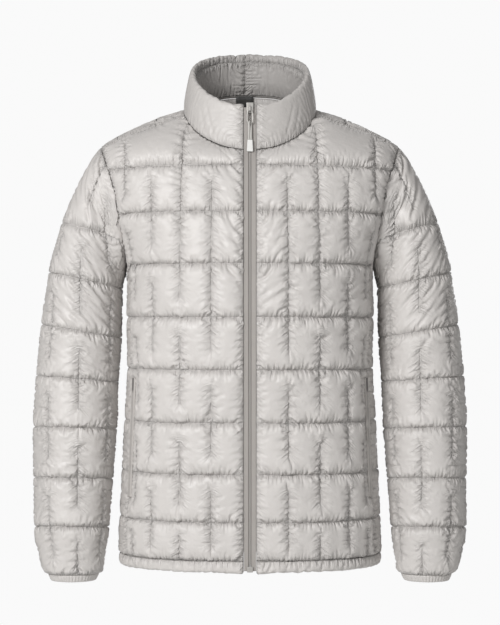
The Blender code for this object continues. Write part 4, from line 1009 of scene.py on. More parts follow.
def sleeve():
    """Sleeve: a tube through its rings, then cubics to the armhole.

    Its puffs are lower under the arm and on the outer side, and fuller there in the lowest tier. The
    stitches cross every second level line up to the cap, where they are listed one by one.
    """
    shares = even(8 * COLUMN)
    grid = sleeve_grid(shares)
    rows = np.arange(len(grid))[:, None] / ROW
    turns = 360 * shares
    away = np.abs((turns + 180) % 360 - 180)
    low = np.interp(rows, (0.35, 0.9, 1.3), (1.45, 0.5, 0.0))
    high = np.interp(rows, (6.2, 6.8), (0.0, 1.0))
    round_it = (25.0, 75.0, 115.0, 160.0)  # degrees from the inner side
    cap = np.interp(away, round_it, (0.35, 1.0, 1.0, SLEEVE_OUTSIDE))
    cap = cap + low * np.interp(away, round_it, (0.3, 0.0, 0.0, 0.7))
    cap = SLEEVE_CAP * (cap - high * np.interp(away, round_it[2:], (0.0, 0.3)))
    upper = np.interp(rows, [4.6, 5.2, 7.4, 8.0], [0.0, 1.0, 1.0, 0.4])
    drag = SLEEVE_DRAG * upper * np.interp(turns, [30, 60, 110, 170], [0.3, 1.0, 1.0, 0.0])
    arms = [*crossings(range(9), 0, 6), (2, 8 - ARM_SHARE, 8.0), (6, 8 - ARM_SHARE, 8.0)]
    on_cap = ((1, ARM_SHARE), (3, 0.0), (5, 0.0), (7, ARM_SHARE))
    arms += [(line, 7 - ARM_SHARE, 7 + rise) for line, rise in on_cap]
    return quilted(grid, rows, 8 * shares, arms, cap, skew=drag, folds=SLEEVE_FOLDS)


def fit_between(arm, side):
    """Lowers the caps of the sleeve and of the side panel where they face each other."""
    x, y, z = arm["grid"].reshape(-1, 3).T
    depth = np.where(y < 0, np.interp(z, BODY[0], BODY[2]), np.interp(z, BODY[0], BODY[3]))
    beside = (np.abs(y) < 0.9 * depth) & (z < ARM_CENTRE_Z)
    room = np.where(beside, x - body_x(y * beside, z), FAR)
    arm["cap"] = np.minimum(arm["cap"], np.maximum(ROOM_SHARE * room, LEAST_CAP).reshape(arm["cap"].shape))
    near = np.flatnonzero(room < 100.0)[::17]
    coarse = side["grid"][::COARSE, ::COARSE]
    apart = np.linalg.norm(coarse.reshape(-1, 1, 3)[..., 1:] - np.stack([y, z], -1)[near], axis=-1)
    facing_room = np.where(apart.min(1) < 30.0, room[near][apart.argmin(1)], FAR)
    facing_cap = np.maximum(ROOM_SHARE * facing_room, LEAST_CAP).reshape(coarse.shape[:2])
    side["cap"] = np.minimum(side["cap"], finer(finer(facing_cap)))


# ---- collar, hem band and cuffs ------------------------------------------------------------


def plain_cloth(grid, wide, tall, cap, ruffled=1.0):
    """Panel data of cloth that is held at its edges alone."""
    shape = grid.shape[:2]
    steps = [np.linalg.norm(np.diff(grid, axis=k), axis=-1).mean() for k in (0, 1)]
    run = {"across": np.arange(shape[1])[None] * steps[1], "up": np.arange(shape[0])[:, None] * steps[0]}
    run = {key: np.broadcast_to(value, shape) for key, value in run.items()}
    spare = {"wide": wide, "tall": tall, "skew": 0.0, "cap": cap, "ruffled": ruffled}
    spare = {key: np.broadcast_to(value, shape).astype(float) for key, value in spare.items()}
    held = framed(np.zeros(shape, bool))
    run.update(level=to_edges(grid, 0), upright=to_edges(grid, 1))
    still = {key: np.zeros(shape) for key in ("anchor", "valley", "around", "number", "tier")}
    still["bay"] = np.floor(2 * run["across"] / run["across"].max())
    return {"grid": grid, "held": held, "to_end": np.full(shape, FAR), **still, **run, **spare}


def collar_panel():
    """Collar: its outer side from the neck seam up, its fold, and its inner side with two seams."""
    shares = even(COLLAR_COLUMNS)
    first_low, first_high = np.arcsin(ZIP_HALF / NECK_HALF), np.arcsin(ZIP_HALF / COLLAR_HALF)
    low_turn = first_low + shares * 2 * (np.pi - first_low)
    turn = first_high + shares * 2 * (np.pi - first_high)
    degrees = 180 - np.abs(180 - np.degrees(turn))
    low = neck(np.degrees(low_turn))
    y = COLLAR_CENTRE - COLLAR_DEPTH * np.cos(turn)
    high = points(COLLAR_HALF * np.sin(turn), y, smooth(*COLLAR_TOP, degrees))
    rise = even(COLLAR_ROWS)[:, None, None]
    out = unit(points(np.sin(low_turn), -np.cos(low_turn), 0.0))
    top = 1 - np.interp(degrees, (20, 150), COLLAR_FOLD) / np.linalg.norm(high - low, axis=-1)
    top = top[None, :, None]
    stand = low + (high - low) * rise * top + out * COLLAR_BELLY * 4 * rise * (1 - rise)
    from_end = np.minimum(run_along(low), run_along(low[::-1])[::-1])
    ends = np.sqrt(1 - (1 - np.clip(from_end / EDGE_RISE, 0, 1)) ** 2)[None, :, None]
    depth = np.interp(rise, even(6), COLLAR_SHEETS) - SHEET - COLLAR_INSIDE_CAP / 2
    inside = stand - out * (SHEET + np.maximum(depth, 0) * ends)
    lifted = COLLAR_RISE * np.interp(degrees, (100, 150), (0, 1))[None, :, None]
    inside = inside + (high - low) * lifted * (1 - rise)
    panel = plain_cloth(folded(stand, inside, COLLAR_BULGE), *COLLAR_SPARE, COLLAR_CAP, SOFT_RUFFLES)
    across, up = panel["across"], panel["up"]
    for way, fold in COLLAR_FOLDS:
        for along_it in (across, across[:, ::-1]):
            panel["valley"] += fold * fold_valley(along_it, up, np.array(way))
    row, column = np.arange(len(up))[:, None], np.arange(len(shares))
    inner = row > len(stand)
    seam_row = len(stand) + FOLD_STEPS - 1 + round((1 - COLLAR_FACING) * COLLAR_ROWS)
    centre = round((0.5 + COLLAR_JOIN / run_along(low)[-1]) * COLLAR_COLUMNS)
    panel["cap"] = panel["cap"] * np.where(row < len(stand), 1.0, COLLAR_INSIDE_SHARE)
    panel["held"][seam_row] = True
    panel["held"][len(stand) :, centre] = True
    panel["level"] = np.minimum(panel["level"], np.abs(row - seam_row) * COLLAR_STEP)
    to_join = np.minimum(panel["upright"], np.abs(column - centre) * COLLAR_STEP)
    panel["upright"] = np.where(inner, to_join, panel["upright"])
    panel["wide"] = np.where(inner, COLLAR_INSIDE_SPARE, panel["wide"])
    at_join = across[0, centre] + np.array((-30.0, 0.0, 30.0))
    panel["bay"] = np.searchsorted(at_join, across).astype(float)
    return panel, stand[:, 0]


def hem_panel(half_edge):
    """Hem band: down its inner side from the seam, round its lower edge and up its outer side."""
    edge = np.concatenate([half_edge, half_edge[-2::-1] * (-1, 1, 1)])
    edge = along(edge, even(HEM_COLUMNS, run_along(edge)[-1]))
    low = edge.copy()
    low[:, 2] = HEM_BOTTOM
    beside_zip = np.clip((np.abs(low[:, 0]) - ZIP_HALF) / COLUMN_PITCH, 0, 1)
    low[:, 0] *= 1 + (HEM_DRAW - 1) * beside_zip
    low[:, 1] *= HEM_DRAW
    down = even(HEM_ROWS)[:, None, None]
    outside = edge + (low - edge) * down * (1 - HEM_FOLD)
    strip = folded(outside + facing_of(outside) * SHEET, outside, HEM_BULGE)
    return plain_cloth(strip, *HEM_SPARE, HEM_CAP, SOFT_RUFFLES), outside[:, 0]


def cuff_ring():
    """Cuff: a rounded section carried round between the cuff seam and its end, gathered into ribs.

    The section's half height and half thickness are those of the band; a rib is a sine of the way
    round whose outward side is rounder than its furrow.
    """
    shares = even(CUFF_RIBS * 8)[:-1]
    high = ring(SLEEVE[-1], even_turns(SLEEVE[-1], shares))
    low = ring(CUFF_END, even_turns(CUFF_END, shares))
    closed = np.concatenate([low[-1:], low, low[:1]])
    facing = unit(np.cross(np.gradient(closed, axis=0)[1:-1], high - low))
    turn = even(CUFF_ROUND, 2 * np.pi)[:-1, None]
    side, upward = np.cos(turn), np.sin(turn)
    rise = 0.5 + 0.48 * np.sign(upward) * np.abs(upward) ** 0.6
    rng = np.random.default_rng(31)
    drift = 1.3 * speckle((CUFF_ROUND, len(shares)), 37, rng)[:1]
    ribs = np.abs(np.cos(np.pi * CUFF_RIBS * shares[None] + drift)) ** 0.8
    height = 1 + 0.35 * speckle((CUFF_ROUND, len(shares)), 21, rng)[:1]
    offset = -1.3 + 1.6 * np.sign(side) * np.abs(side) ** 0.7
    offset = offset + RIB * (ribs * height - 0.4) * np.clip(side + 0.35, 0, 1) * (1 - 0.45 * rise)
    return low + (high - low) * rise[..., None] + facing * offset[..., None]


def add_ring(name, node, grid, material):
    """Closed ring from a grid whose rows and columns both come round to their start."""
    index = np.arange(grid[..., 0].size).reshape(grid.shape[:2])
    index = np.concatenate([index, index[:1]])
    index = np.concatenate([index, index[:, :1]], axis=1)
    quads = squares(index)
    piece = add_mesh(name, grid.reshape(-1, 3), quads, np.empty((0, 3), int), material)
    row, column = (part.ravel() for part in np.indices(grid.shape[:2]))
    far = np.full(row.size, STITCH_FELT)
    run = {"across": column * CUFF_STEPS[0], "up": row * CUFF_STEPS[1], "level": far, "upright": far}
    mark(piece.data, run)
    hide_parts(node)
    return piece


# ---- zip -----------------------------------------------------------------------------------


def tape_panel(line):
    """Half of the zip's tape: flat by its panel, rolled down into a groove beside the teeth.

    line is the edge that it is sewn to, from the hem up. Returns its face and its plain back.
    """
    run = run_along(line)
    edge = along(line, even(TAPE_ROWS, run[-1]))
    x = ZIP_HALF - SEAM_GAP / 2 - np.cumsum([0.0, *TAPE_STEPS])
    across = np.interp(x, *np.array(TAPE_PROFILE).T)
    slope = unit(np.gradient(edge, axis=0))
    facing = unit(np.cross(points(1.0, 0.0, 0.0), slope))
    base = np.repeat(edge[:, None], len(x), axis=1)
    base[..., 0] = x
    return base[:, ::-1] + facing[:, None] * across[::-1, None], base[:, ::-1] - facing[:, None] * SHEET


def teeth(line):
    """Zip teeth, by turns from the left and the right, up the centre line.

    Each is a small rounded block: four rings of six points, the outer two rings smaller.
    """
    run = run_along(line)
    top = np.interp(TEETH_TOP, line[:, 2], run)
    count = int((top - TEETH_BOTTOM) / TOOTH_PITCH)
    at = TEETH_BOTTOM + TOOTH_PITCH * np.arange(count)
    centre = along(line, at)
    slope = unit(along(line, at + 1.0) - along(line, at - 1.0))
    facing = unit(np.cross(points(1.0, 0.0, 0.0), slope))
    hand = np.where(np.arange(count) % 2, 1.0, -1.0)[:, None, None]
    turn = np.radians(np.arange(0, 360, 60))
    across = np.array([-1.0, -0.75, 0.6, 1.0])
    size = np.array([0.5, 1.0, 1.0, 0.55])
    lap = TOOTH_HALF * across[None, :, None]
    up = 0.62 * TOOTH_PITCH * (size[:, None] * np.cos(turn))[None]
    out = 0.55 * (size[:, None] * np.sin(turn))[None] - 0.5
    place = np.zeros((count, 4, 6, 3))
    place += centre[:, None, None] * (0, 1, 1)
    place[..., 0] += (lap + 0.35) * -hand
    place += slope[:, None, None] * up[..., None] + facing[:, None, None] * out[..., None]
    index = np.arange(24).reshape(4, 6)
    index = np.concatenate([index, index[:, :1]], axis=1)
    caps = [[3, 2, 1, 0], [5, 4, 3, 0], [18, 19, 20, 21], [18, 21, 22, 23]]
    quads = np.concatenate([squares(index), caps])
    turned = quads[:, ::-1]
    faces = np.where(hand > 0, turned, quads) + 24 * np.arange(count)[:, None, None]
    return place.reshape(-1, 3), faces.reshape(-1, 4)


def pocket_panel():
    """Side pocket's closed zip: two rolled welts over the side seam and a groove between them."""
    z = even(POCKET_ROWS) * (POCKET_HIGH - POCKET_LOW) + POCKET_LOW
    y = seam_y(z, False)
    seam = points(body_x(y, z), y, z)
    across = unit(points(body_x(y + 1, z), y + 1, z) - points(body_x(y - 1, z), y - 1, z))
    facing = unit(np.cross(across, np.gradient(seam, axis=0)))
    share = even(16, 2.0) - 1
    slit_end = POCKET_HIGH - POCKET_SLIT
    groove = np.interp(z, (slit_end - POCKET_FADE, slit_end + POCKET_FADE), (POCKET_GROOVE, 1.0))
    section = np.clip(1 - np.abs(share) ** 3, 0, 1) ** 0.5
    welt = POCKET_SHEET * section * (1 - groove[:, None] * np.exp(-((share / 0.2) ** 2)))
    base = seam[:, None] + across[:, None] * (POCKET_HALF * share - POCKET_FORWARD)[None, :, None]
    base = base + facing[:, None] * (POCKET_LIFT + POCKET_TILT * share[None, :, None])
    return base + facing[:, None] * welt[..., None], base - facing[:, None] * 0.4


def label_panel():
    """Blank label inside the neck, from the back's points, moved in, with a slight wave."""
    x = LABEL_CENTRE + LABEL_HALF * (1 - even(24, 2.0))
    rows = np.repeat((LABEL_SHARES[0] + np.diff(LABEL_SHARES) * even(12))[:, None], len(x), axis=1)
    grid = top_zone(np.abs(x) / COLUMN_PITCH, rows, True)
    grid[..., 0] = np.abs(grid[..., 0]) * np.sign(x)
    facing = facing_of(grid)
    wave = 0.25 * np.sin(x / 5.0) * np.sin(even(12, 5.0))[:, None]
    back = grid - facing * (SHEET + LABEL_LIFT)
    return back, back - facing * (LABEL_SHEET + wave[..., None])


def pull_cord():
    """Braided cord of the zip's pull: up one leg, over the link's end, down the other leg.

    A round section is carried along the path. Its radius grows and shrinks where the strands of the
    braid cross: the product of two waves that wind round the cord in opposite directions.
    """
    turn = even(12, np.pi)
    lap = WIRE + CORD_RADIUS + REST_GAP
    beside = CORD_RADIUS + REST_GAP / 2
    loop = points(beside * np.cos(turn), lap * np.cos(turn), lap * np.sin(turn) - LINK_LENGTH)
    drop = even(10)[1:]
    leg = points(beside, lap * (1 - drop) ** 2, 0.0)
    leg[:, 2] = -LINK_LENGTH - (CORD_END - LINK_LENGTH) * drop
    path = np.concatenate([leg[::-1], loop, leg * (-1, -1, 1)])
    run = run_along(path)
    at = even(240, run[-1])
    path = np.stack([smooth(run, path[:, k], at) for k in range(3)], axis=1)
    forward = unit(np.gradient(path, axis=0))
    first = unit(np.cross(forward, points(0.3, 1.0, 0.0)))
    second = np.cross(forward, first)
    angle = even(CORD_ROUND, 2 * np.pi)[:-1]
    wind = at[:, None] / CORD_RADIUS
    braid = np.sin(3 * angle[None] + 1.6 * wind) * np.sin(3 * angle[None] - 1.6 * wind)
    radius = (CORD_RADIUS * (0.94 + 0.06 * braid))[..., None]
    angle = angle[None, :, None]
    tube = path[:, None] + radius * (first[:, None] * np.cos(angle) + second[:, None] * np.sin(angle))
    cos, sin = np.cos(PULL_LEAN), np.sin(PULL_LEAN)
    lean = np.array(((1, 0, 0), (0, cos, sin), (0, -sin, cos)))
    tube = tube @ lean.T + PIVOT
    index = np.arange(tube[..., 0].size).reshape(tube.shape[:2])
    wrapped = np.concatenate([index, index[:, :1]], axis=1)
    quads = squares(wrapped)[:, ::-1]
    ends = (index[0], index[-1, ::-1])
    fans = [np.stack([np.full(CORD_ROUND - 2, end[0]), end[1:-1], end[2:]], axis=-1) for end in ends]
    return tube.reshape(-1, 3), quads, np.concatenate(fans)[:, ::-1]


# ---- materials -----------------------------------------------------------------------------


def add_node(tree, kind, inputs=None, **settings):
    """Adds a node. Its inputs, by name or number, are values or other nodes' outputs."""
    made = tree.nodes.new(kind)
    for key, value in settings.items():
        setattr(made, key, value)
    for key, value in (inputs or {}).items():
        if isinstance(value, bpy.types.NodeSocket):
            tree.links.new(value, made.inputs[key])
        else:
            made.inputs[key].default_value = value
    return made


def maths(tree, operation, *values):
    return add_node(tree, "ShaderNodeMath", dict(enumerate(values)), operation=operation).outputs[0]


def chained(tree, operation, first, *values):
    """The operation done with one value after the other."""
    for value in values:
        first = maths(tree, operation, first, value)
    return first


def ramp(tree, value, start, end, low=0.0, high=1.0):
    """Smooth step of a value, from low at start to high at end."""
    inputs = {"Value": value, "From Min": start, "From Max": end, "To Min": low, "To Max": high}
    return add_node(tree, "ShaderNodeMapRange", inputs, interpolation_type="SMOOTHSTEP").outputs["Result"]


def noise(tree, vector, scale, detail=2.0, roughness=0.5):
    inputs = {"Vector": vector, "Scale": scale, "Detail": detail, "Roughness": roughness}
    return add_node(tree, "ShaderNodeTexNoise", inputs).outputs["Fac"]


def furrow(tree, value):
    """Sharp valley where a noise passes its middle, rounded ridges between."""
    return maths(tree, "MULTIPLY", maths(tree, "ABSOLUTE", maths(tree, "SUBTRACT", value, 0.5)), 4.0)


def tint(tree, colour, factor):
    """Colour darkened to a factor."""
    inputs = {"Factor": 1.0, 6: (*colour, 1.0), 7: factor}  # 6 and 7 are the two mixed colours
    return add_node(tree, "ShaderNodeMix", inputs, data_type="RGBA", blend_type="MULTIPLY").outputs[2]


def cloth_place(tree):
    """Place on the cloth, across and up, in metres."""
    uv = add_node(tree, "ShaderNodeUVMap", uv_map="cloth").outputs["UV"]
    place = add_node(tree, "ShaderNodeSeparateXYZ", {"Vector": uv})
    return place.outputs["X"], place.outputs["Y"]


def new_group(name, inputs, outputs):
    group = bpy.data.node_groups.new(name, "ShaderNodeTree")
    for key, value in inputs.items():
        socket = group.interface.new_socket(name=key, in_out="INPUT", socket_type="NodeSocketFloat")
        socket.default_value = value
    for key in outputs:
        group.interface.new_socket(name=key, in_out="OUTPUT", socket_type="NodeSocketFloat")
    return group, group.nodes.new("NodeGroupInput"), group.nodes.new("NodeGroupOutput")


def cloth_group():
    """Creases of quilted cloth, from its place on the cloth and its distance to stitches.

    Along each stitch a noise that is stretched away from it makes furrows, which fade out with
    distance. Beside each stitch, and most in the furrows there, the colour is darkened as painted
    shade. A wider noise makes the soft creases between. Stitches are dashes on their line. Shade is
    random tone times that painted shade, with the stitches' dashes a little lighter.
    """
    group, start, end = new_group(
        "quilted_cloth", {"Puckers": 1.2, "Creases": 1.0}, ("Height", "Shade", "Rub")
    )

    def times(*values):
        return chained(group, "MULTIPLY", *values)

    def plus(*values):
        return chained(group, "ADD", *values)

    u, v = cloth_place(group)
    level, upright = (
        add_node(group, "ShaderNodeAttribute", attribute_name=key).outputs["Fac"]
        for key in ("level", "upright")
    )
    ruffles, ticks, dashes = [], [], []
    for away, along_it, outward, shift, pitch, slant, reach in (
        (level, u, v, 0.0, 0.0030, 0.0, 13.0),
        (upright, v, u, 7.0, 0.0042, 0.0007, 20.0),
    ):
        dash = maths(group, "LESS_THAN", maths(group, "FRACT", times(along_it, 1 / DASH)), 0.66)
        dashes.append(times(dash, maths(group, "LESS_THAN", away, 0.35)))
        slanted = plus(along_it, times(away, slant))
        stretched = {"X": times(slanted, 1 / pitch), "Y": times(outward, 1 / 0.024), "Z": shift}
        spread = add_node(group, "ShaderNodeCombineXYZ", stretched).outputs["Vector"]
        grooves = furrow(group, noise(group, spread, 1.0, 1.0))
        ticks.append(times(maths(group, "SUBTRACT", 1.0, grooves), ramp(group, away, 3.0, 10.0, 1.0, 0.0)))
        felt = times(ramp(group, away, 2.0, reach, 1.0, 0.0), ramp(group, away, 0.0, 1.5))
        ruffles.append(times(grooves, felt))
    puckers = times(plus(*ruffles), start.outputs["Puckers"])
    spot = add_node(group, "ShaderNodeTexCoord").outputs["Object"]
    creases = furrow(group, noise(group, spot, 38.0, 3.0, 0.55))
    creases = times(creases, times(start.outputs["Creases"], 0.45))
    groove = plus(ramp(group, level, 0.0, 1.6), ramp(group, upright, 0.0, 2.0, 0.0, 0.4))
    weave = times(*(maths(group, "SINE", times(way, 2 * np.pi / THREAD)) for way in (u, v)))
    height = plus(puckers, creases, times(weave, 0.008), times(groove, 0.6))

    # Painted shade: the colour is darkened in the furrows within 10 mm of a stitch.
    beside = [ramp(group, away, 3.0, 10.0, TUCK_PAINTED_SHADE, 0.0) for away in (level, upright)]
    ticked = ramp(group, maths(group, "MAXIMUM", *ticks), 0.0, 0.7)
    painted_tuck_shade = times(maths(group, "MAXIMUM", *beside), ticked)
    mottle = noise(group, spot, 9.0, 3.0)
    # Painted shade: darker within 5 mm of a level stitch and 3 mm of an upright one, and in the furrows
    # beside them; the mottle is random tone and the dashes are thread.
    shade = times(
        plus(0.94, times(mottle, 0.12)),
        ramp(group, level, 0.0, 5.0, 0.95, 1.0),
        ramp(group, upright, 0.0, 3.0, 0.86, 1.0),
        maths(group, "SUBTRACT", 1.0, painted_tuck_shade),
    )
    shade = plus(shade, times(maths(group, "MAXIMUM", *dashes), 0.1))
    for key, value in (("Height", height), ("Shade", shade), ("Rub", mottle)):
        group.links.new(value, end.inputs[key])
    return group


def material(name, colour, roughness):
    made = bpy.data.materials.new(name)
    made.use_nodes = True
    shader = made.node_tree.nodes["Principled BSDF"]
    shader.inputs["Base Color"].default_value = (*colour, 1.0)
    shader.inputs["Roughness"].default_value = roughness
    return made, made.node_tree, shader


def bump(tree, shader, height, distance):
    """Relief of a material. distance is the real height of one, in metres."""
    inputs = {"Height": height, "Distance": distance, "Strength": 1.0}
    tree.links.new(add_node(tree, "ShaderNodeBump", inputs).outputs["Normal"], shader.inputs["Normal"])


def nylon(group, name, colour, painted_inside_from=1.0):
    """Downproof nylon: smooth close weave, satin gloss; painted shade from a height up the cloth on."""
    made, tree, shader = material(name, colour, 0.4)
    cloth = add_node(tree, "ShaderNodeGroup", node_tree=group)
    # Painted shade: the collar's inner side is darkened from painted_inside_from up the cloth.
    lining = ramp(tree, cloth_place(tree)[1], painted_inside_from, painted_inside_from + 0.006, 1.0, PAINTED_INSIDE_SHADE)
    tone = maths(tree, "MULTIPLY", cloth.outputs["Shade"], lining)
    tree.links.new(tint(tree, colour, tone), shader.inputs["Base Color"])
    tree.links.new(ramp(tree, cloth.outputs["Rub"], 0.3, 0.7, 0.4, 0.52), shader.inputs["Roughness"])
    shader.inputs["Sheen Weight"].default_value = 0.12
    shader.inputs["Sheen Roughness"].default_value = 0.4
    bump(tree, shader, cloth.outputs["Height"], 0.0011)
    return made


def tape_weave(name, colour, painted_groove_shade_half, painted_groove_shade_from=-1.0):
    """Woven tape: fine lengthwise ribs in a herringbone; painted shade towards the teeth from a length on.
    """
    made, tree, shader = material(name, colour, 0.78)
    u, v = cloth_place(tree)
    zigzag = maths(tree, "PINGPONG", maths(tree, "MULTIPLY", u, 1 / 0.0009), 1.0)
    slant = maths(tree, "ADD", maths(tree, "MULTIPLY", v, 1 / 0.0006), zigzag)
    ribs = maths(tree, "PINGPONG", slant, 0.5)
    wale = maths(tree, "PINGPONG", maths(tree, "MULTIPLY", u, 1 / 0.0018), 0.5)
    height = maths(tree, "ADD", ribs, wale)
    spot = add_node(tree, "ShaderNodeTexCoord").outputs["Object"]
    tone = maths(tree, "ADD", 0.93, maths(tree, "MULTIPLY", noise(tree, spot, 60.0, 3.0), 0.14))
    # Painted shade: dark in the middle groove, by the teeth or a pocket's slit; faint before
    # painted_groove_shade_from.
    side = maths(tree, "ABSOLUTE", u)
    light = ramp(tree, side, painted_groove_shade_half * 0.6, painted_groove_shade_half * 1.5, 0.2, 1.0)
    light = maths(tree, "MAXIMUM", light, ramp(tree, v, painted_groove_shade_from, painted_groove_shade_from + 0.01, 0.72, 0.0))
    tone = maths(tree, "MULTIPLY", tone, light)
    # Painted shade: darker in the hollows of the weave.
    tone = maths(tree, "MULTIPLY", tone, ramp(tree, height, 0.0, 0.8, 0.9, 1.0))
    tree.links.new(tint(tree, colour, tone), shader.inputs["Base Color"])
    bump(tree, shader, height, 0.00008)
    return made


def moulded(name, colour, roughness, grain, metallic=0.0):
    """Moulded plastic or cast zinc: a fine grain and faint smears."""
    made, tree, shader = material(name, colour, roughness)
    spot = add_node(tree, "ShaderNodeTexCoord").outputs["Object"]
    fine, wide = noise(tree, spot, grain, 4.0), noise(tree, spot, 160.0, 2.0)
    tone = maths(tree, "ADD", 0.93, maths(tree, "MULTIPLY", wide, 0.14))
    tree.links.new(tint(tree, colour, tone), shader.inputs["Base Color"])
    gloss = ramp(tree, wide, 0.3, 0.7, roughness - 0.06, roughness + 0.08)
    tree.links.new(gloss, shader.inputs["Roughness"])
    shader.inputs["Metallic"].default_value = metallic
    bump(tree, shader, fine, 0.00006)
    return made


def label_satin():
    """Dark woven satin with fine level bands."""
    made, tree, shader = material("label_satin", LABEL_COLOUR, 0.5)
    spot = add_node(tree, "ShaderNodeTexCoord").outputs["Object"]
    bands = add_node(tree, "ShaderNodeTexWave", {"Vector": spot, "Scale": 900.0}, bands_direction="Z")
    band = bands.outputs["Fac"]
    tone = ramp(tree, band, 0.0, 1.0, 0.75, 1.1)
    tree.links.new(tint(tree, LABEL_COLOUR, tone), shader.inputs["Base Color"])
    bump(tree, shader, band, 0.00005)
    shader.inputs["Sheen Weight"].default_value = 0.3
    return made


# ---- building ------------------------------------------------------------------------------


def build_panels(cloth, collar_nylon_painted_shade):
    """All padded cloth. Returns the line that the zip's tapes are sewn to, from the hem up."""
    front, side, front_edge, low_edge = front_and_side()
    back, back_low_edge = whole_back()
    arm = sleeve()
    fit_between(arm, side)
    pairs = {"front": front, "side": side, "shoulder": shoulder_strip(), "sleeve": arm}
    seed = 11
    for node, panel in pairs.items():
        for hand, part in (("left", panel), ("right", other_side(panel))):
            seed += 1
            add_wall(f"{node}_cloth_{hand}", f"{node}_{hand}", *swollen(part, seed), cloth, part)
    add_wall("back_cloth", "back", *swollen(back, 7), cloth, back)
    collar, collar_edge = collar_panel()
    add_pillow("collar_cloth", "collar", swollen(collar, 41)[0], collar_nylon_painted_shade, collar)
    hem, hem_edge = hem_panel(np.concatenate([low_edge, back_low_edge]))
    add_pillow("hem_cloth", "hem_band", swollen(hem, 43)[0], cloth, hem)
    cuff = cuff_ring()
    add_ring("cuff_cloth_left", "cuff_left", cuff, cloth)
    add_ring("cuff_cloth_right", "cuff_right", cuff[:, ::-1] * (-1, 1, 1), cloth)
    return np.concatenate([hem_edge[::-1], front_edge[1:], collar_edge[1:]])


def add_tapes(node, grid, back, across, length, tape):
    """A tape on each half of the body, from the left one's grid, back and place across it."""
    shape = grid.shape[:2]
    run = {key: np.full(shape, STITCH_FELT) for key in ("level", "upright")}
    run["across"] = np.broadcast_to(across, shape)
    run["up"] = np.repeat(even(shape[0] - 1, length)[:, None], shape[1], axis=1)
    left = {"grid": grid, **run}
    mirrored = back[:, ::-1] * (-1, 1, 1)
    for hand, part, inner in (("left", left, back), ("right", other_side(left), mirrored)):
        piece = add_wall(f"{node}_cloth_{hand}", f"{node}_{hand}", part["grid"], inner, tape, part)


def build_zip(line, tape, plastic):
    """The front zip's tapes and the teeth between them, up the line."""
    face, back = tape_panel(line)
    add_tapes("zip_tape", face, back, face[..., 0], run_along(line)[-1], tape)
    places, faces = teeth(line)
    piece = add_mesh("zip_teeth", places, faces, np.empty((0, 3), int), plastic)


def build_pockets(tape):
    """The side pockets' zips."""
    face, back = pocket_panel()
    length = POCKET_HIGH - POCKET_LOW
    add_tapes("pocket_zip", face, back, even(face.shape[1] - 1, 4.0) - 2, length, tape)


def build_label(satin):
    """The blank neck label."""
    outer, back = label_panel()
    shape = outer.shape[:2]
    run = {key: np.full(shape, STITCH_FELT) for key in CLOTH_RUN}
    piece = add_wall("neck_label_cloth", "neck_label", outer, back, satin, run)


def build_pull(cord):
    """The pull's cord, which swings with it."""
    piece = add_mesh("pull_cord_braid", *pull_cord(), cord)
    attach(piece, "zip_pull")
    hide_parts("zip_pull_cord")


def finish_hardware(metal, tip):
    """Materials for the solids that show themselves."""
    finishes = {"zip_slider": metal, "zip_box": metal, "zip_pull_link": metal, "zip_pull_tip": tip}
    for node, finish in finishes.items():
        for slot in bpy.data.objects[node].material_slots:
            slot.material = finish


def build_jacket():
    """All materials and pieces."""
    creased = cloth_group()
    cloth = nylon(creased, "light_grey_nylon", NYLON_COLOUR)
    # Painted shade: the collar's nylon is painted darker, and darker still on its inner side.
    collar_nylon_painted_shade = nylon(creased, "collar_nylon_painted_shade", COLLAR_PAINTED_SHADE_COLOUR, PAINTED_INSIDE_FROM)
    zip_line = build_panels(cloth, collar_nylon_painted_shade)
    tape = tape_weave("zip_tape_weave", TAPE_COLOUR, 0.0016)
    build_zip(zip_line, tape, moulded("zip_teeth_plastic", TEETH_COLOUR, 0.4, 900.0))
    build_pockets(tape_weave("pocket_tape_weave", POCKET_COLOUR, 0.0008, 0.146))
    build_label(label_satin())
    build_pull(moulded("pull_cord_braid", CORD_COLOUR, 0.7, 2500.0))
    zinc = moulded("cast_zinc", ZINC_COLOUR, 0.42, 1500.0, 0.45)
    finish_hardware(zinc, moulded("moulded_tip", TIP_COLOUR, 0.5, 1200.0))


# ---- stage, light and camera ---------------------------------------------------------------


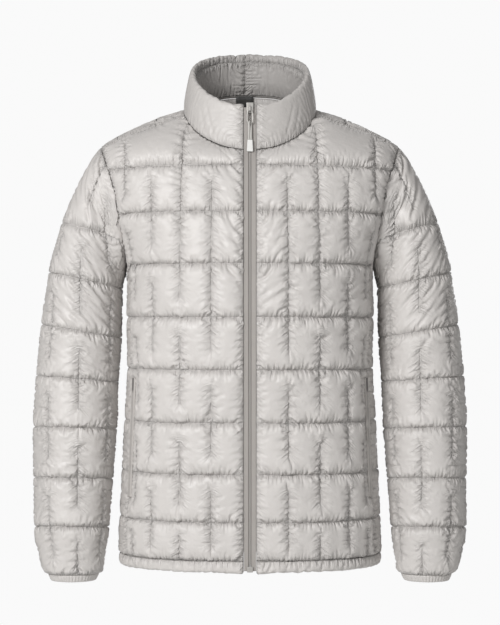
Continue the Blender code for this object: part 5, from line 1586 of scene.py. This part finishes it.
def add_world():
    """Even light from all around, before plain paper."""
    world = bpy.data.worlds.new("studio")
    world.use_nodes = True
    bpy.context.scene.world = world
    nodes = world.node_tree.nodes
    wire = world.node_tree.links.new
    glow = nodes["Background"]
    glow.inputs["Color"].default_value = (1.0, 0.995, 0.985, 1)
    glow.inputs["Strength"].default_value = 0.29
    paper = nodes.new("ShaderNodeBackground")
    paper.inputs["Color"].default_value = (0.955, 0.955, 0.955, 1)
    seen, mix = nodes.new("ShaderNodeLightPath"), nodes.new("ShaderNodeMixShader")
    wire(seen.outputs["Is Camera Ray"], mix.inputs["Fac"])
    wire(glow.outputs["Background"], mix.inputs[1])
    wire(paper.outputs["Background"], mix.inputs[2])
    wire(mix.outputs["Shader"], nodes["World Output"].inputs["Surface"])


def add_light(name, place, aim, size, power):
    light = bpy.data.lights.new(name, "AREA")
    light.size = size
    light.energy = power
    lamp = bpy.data.objects.new(name, light)
    lamp.location = place
    lamp.rotation_euler = (Vector(aim) - Vector(place)).to_track_quat("-Z", "Y").to_euler()
    bpy.context.scene.collection.objects.link(lamp)


def add_floor():
    """Round floor well below the jacket."""
    turn = even(64, 2 * np.pi)[:-1]
    places = points(FLOOR_RADIUS * np.cos(turn), FLOOR_RADIUS * np.sin(turn), FLOOR_LEVEL)
    mesh = bpy.data.meshes.new("studio_floor")
    mesh.from_pydata(places.tolist(), [], [list(range(len(places)))])
    mesh.materials.append(material("studio_floor", (0.82, 0.82, 0.81), 0.8)[0])
    ground = bpy.data.objects.new("studio_floor", mesh)
    bpy.context.scene.collection.objects.link(ground)


def add_camera():
    """Level camera at EYE, whose picture is FRAME_HEIGHT high where the jacket stands."""
    lens = bpy.data.cameras.new("camera")
    lens.sensor_fit = "VERTICAL"
    lens.sensor_height = SENSOR
    lens.lens = SENSOR * -EYE[1] / FRAME_HEIGHT
    camera = bpy.data.objects.new("camera", lens)
    camera.location = EYE
    camera.rotation_euler = (np.pi / 2, 0.0, 0.0)
    bpy.context.scene.collection.objects.link(camera)
    bpy.context.scene.camera = camera


build_jacket()
add_world()
add_light("key", (-1.5, -2.6, 0.8), (0, 0, -0.33), 1.2, 82)
add_light("fill", (1.3, -2.9, -0.3), (0, 0, -0.3), 1.6, 12)
add_light("back", (0.5, 3.2, 0.3), (0, 0, -0.3), 2.2, 40)
add_floor()
add_camera()
bpy.context.scene.view_settings.view_transform = "Standard"
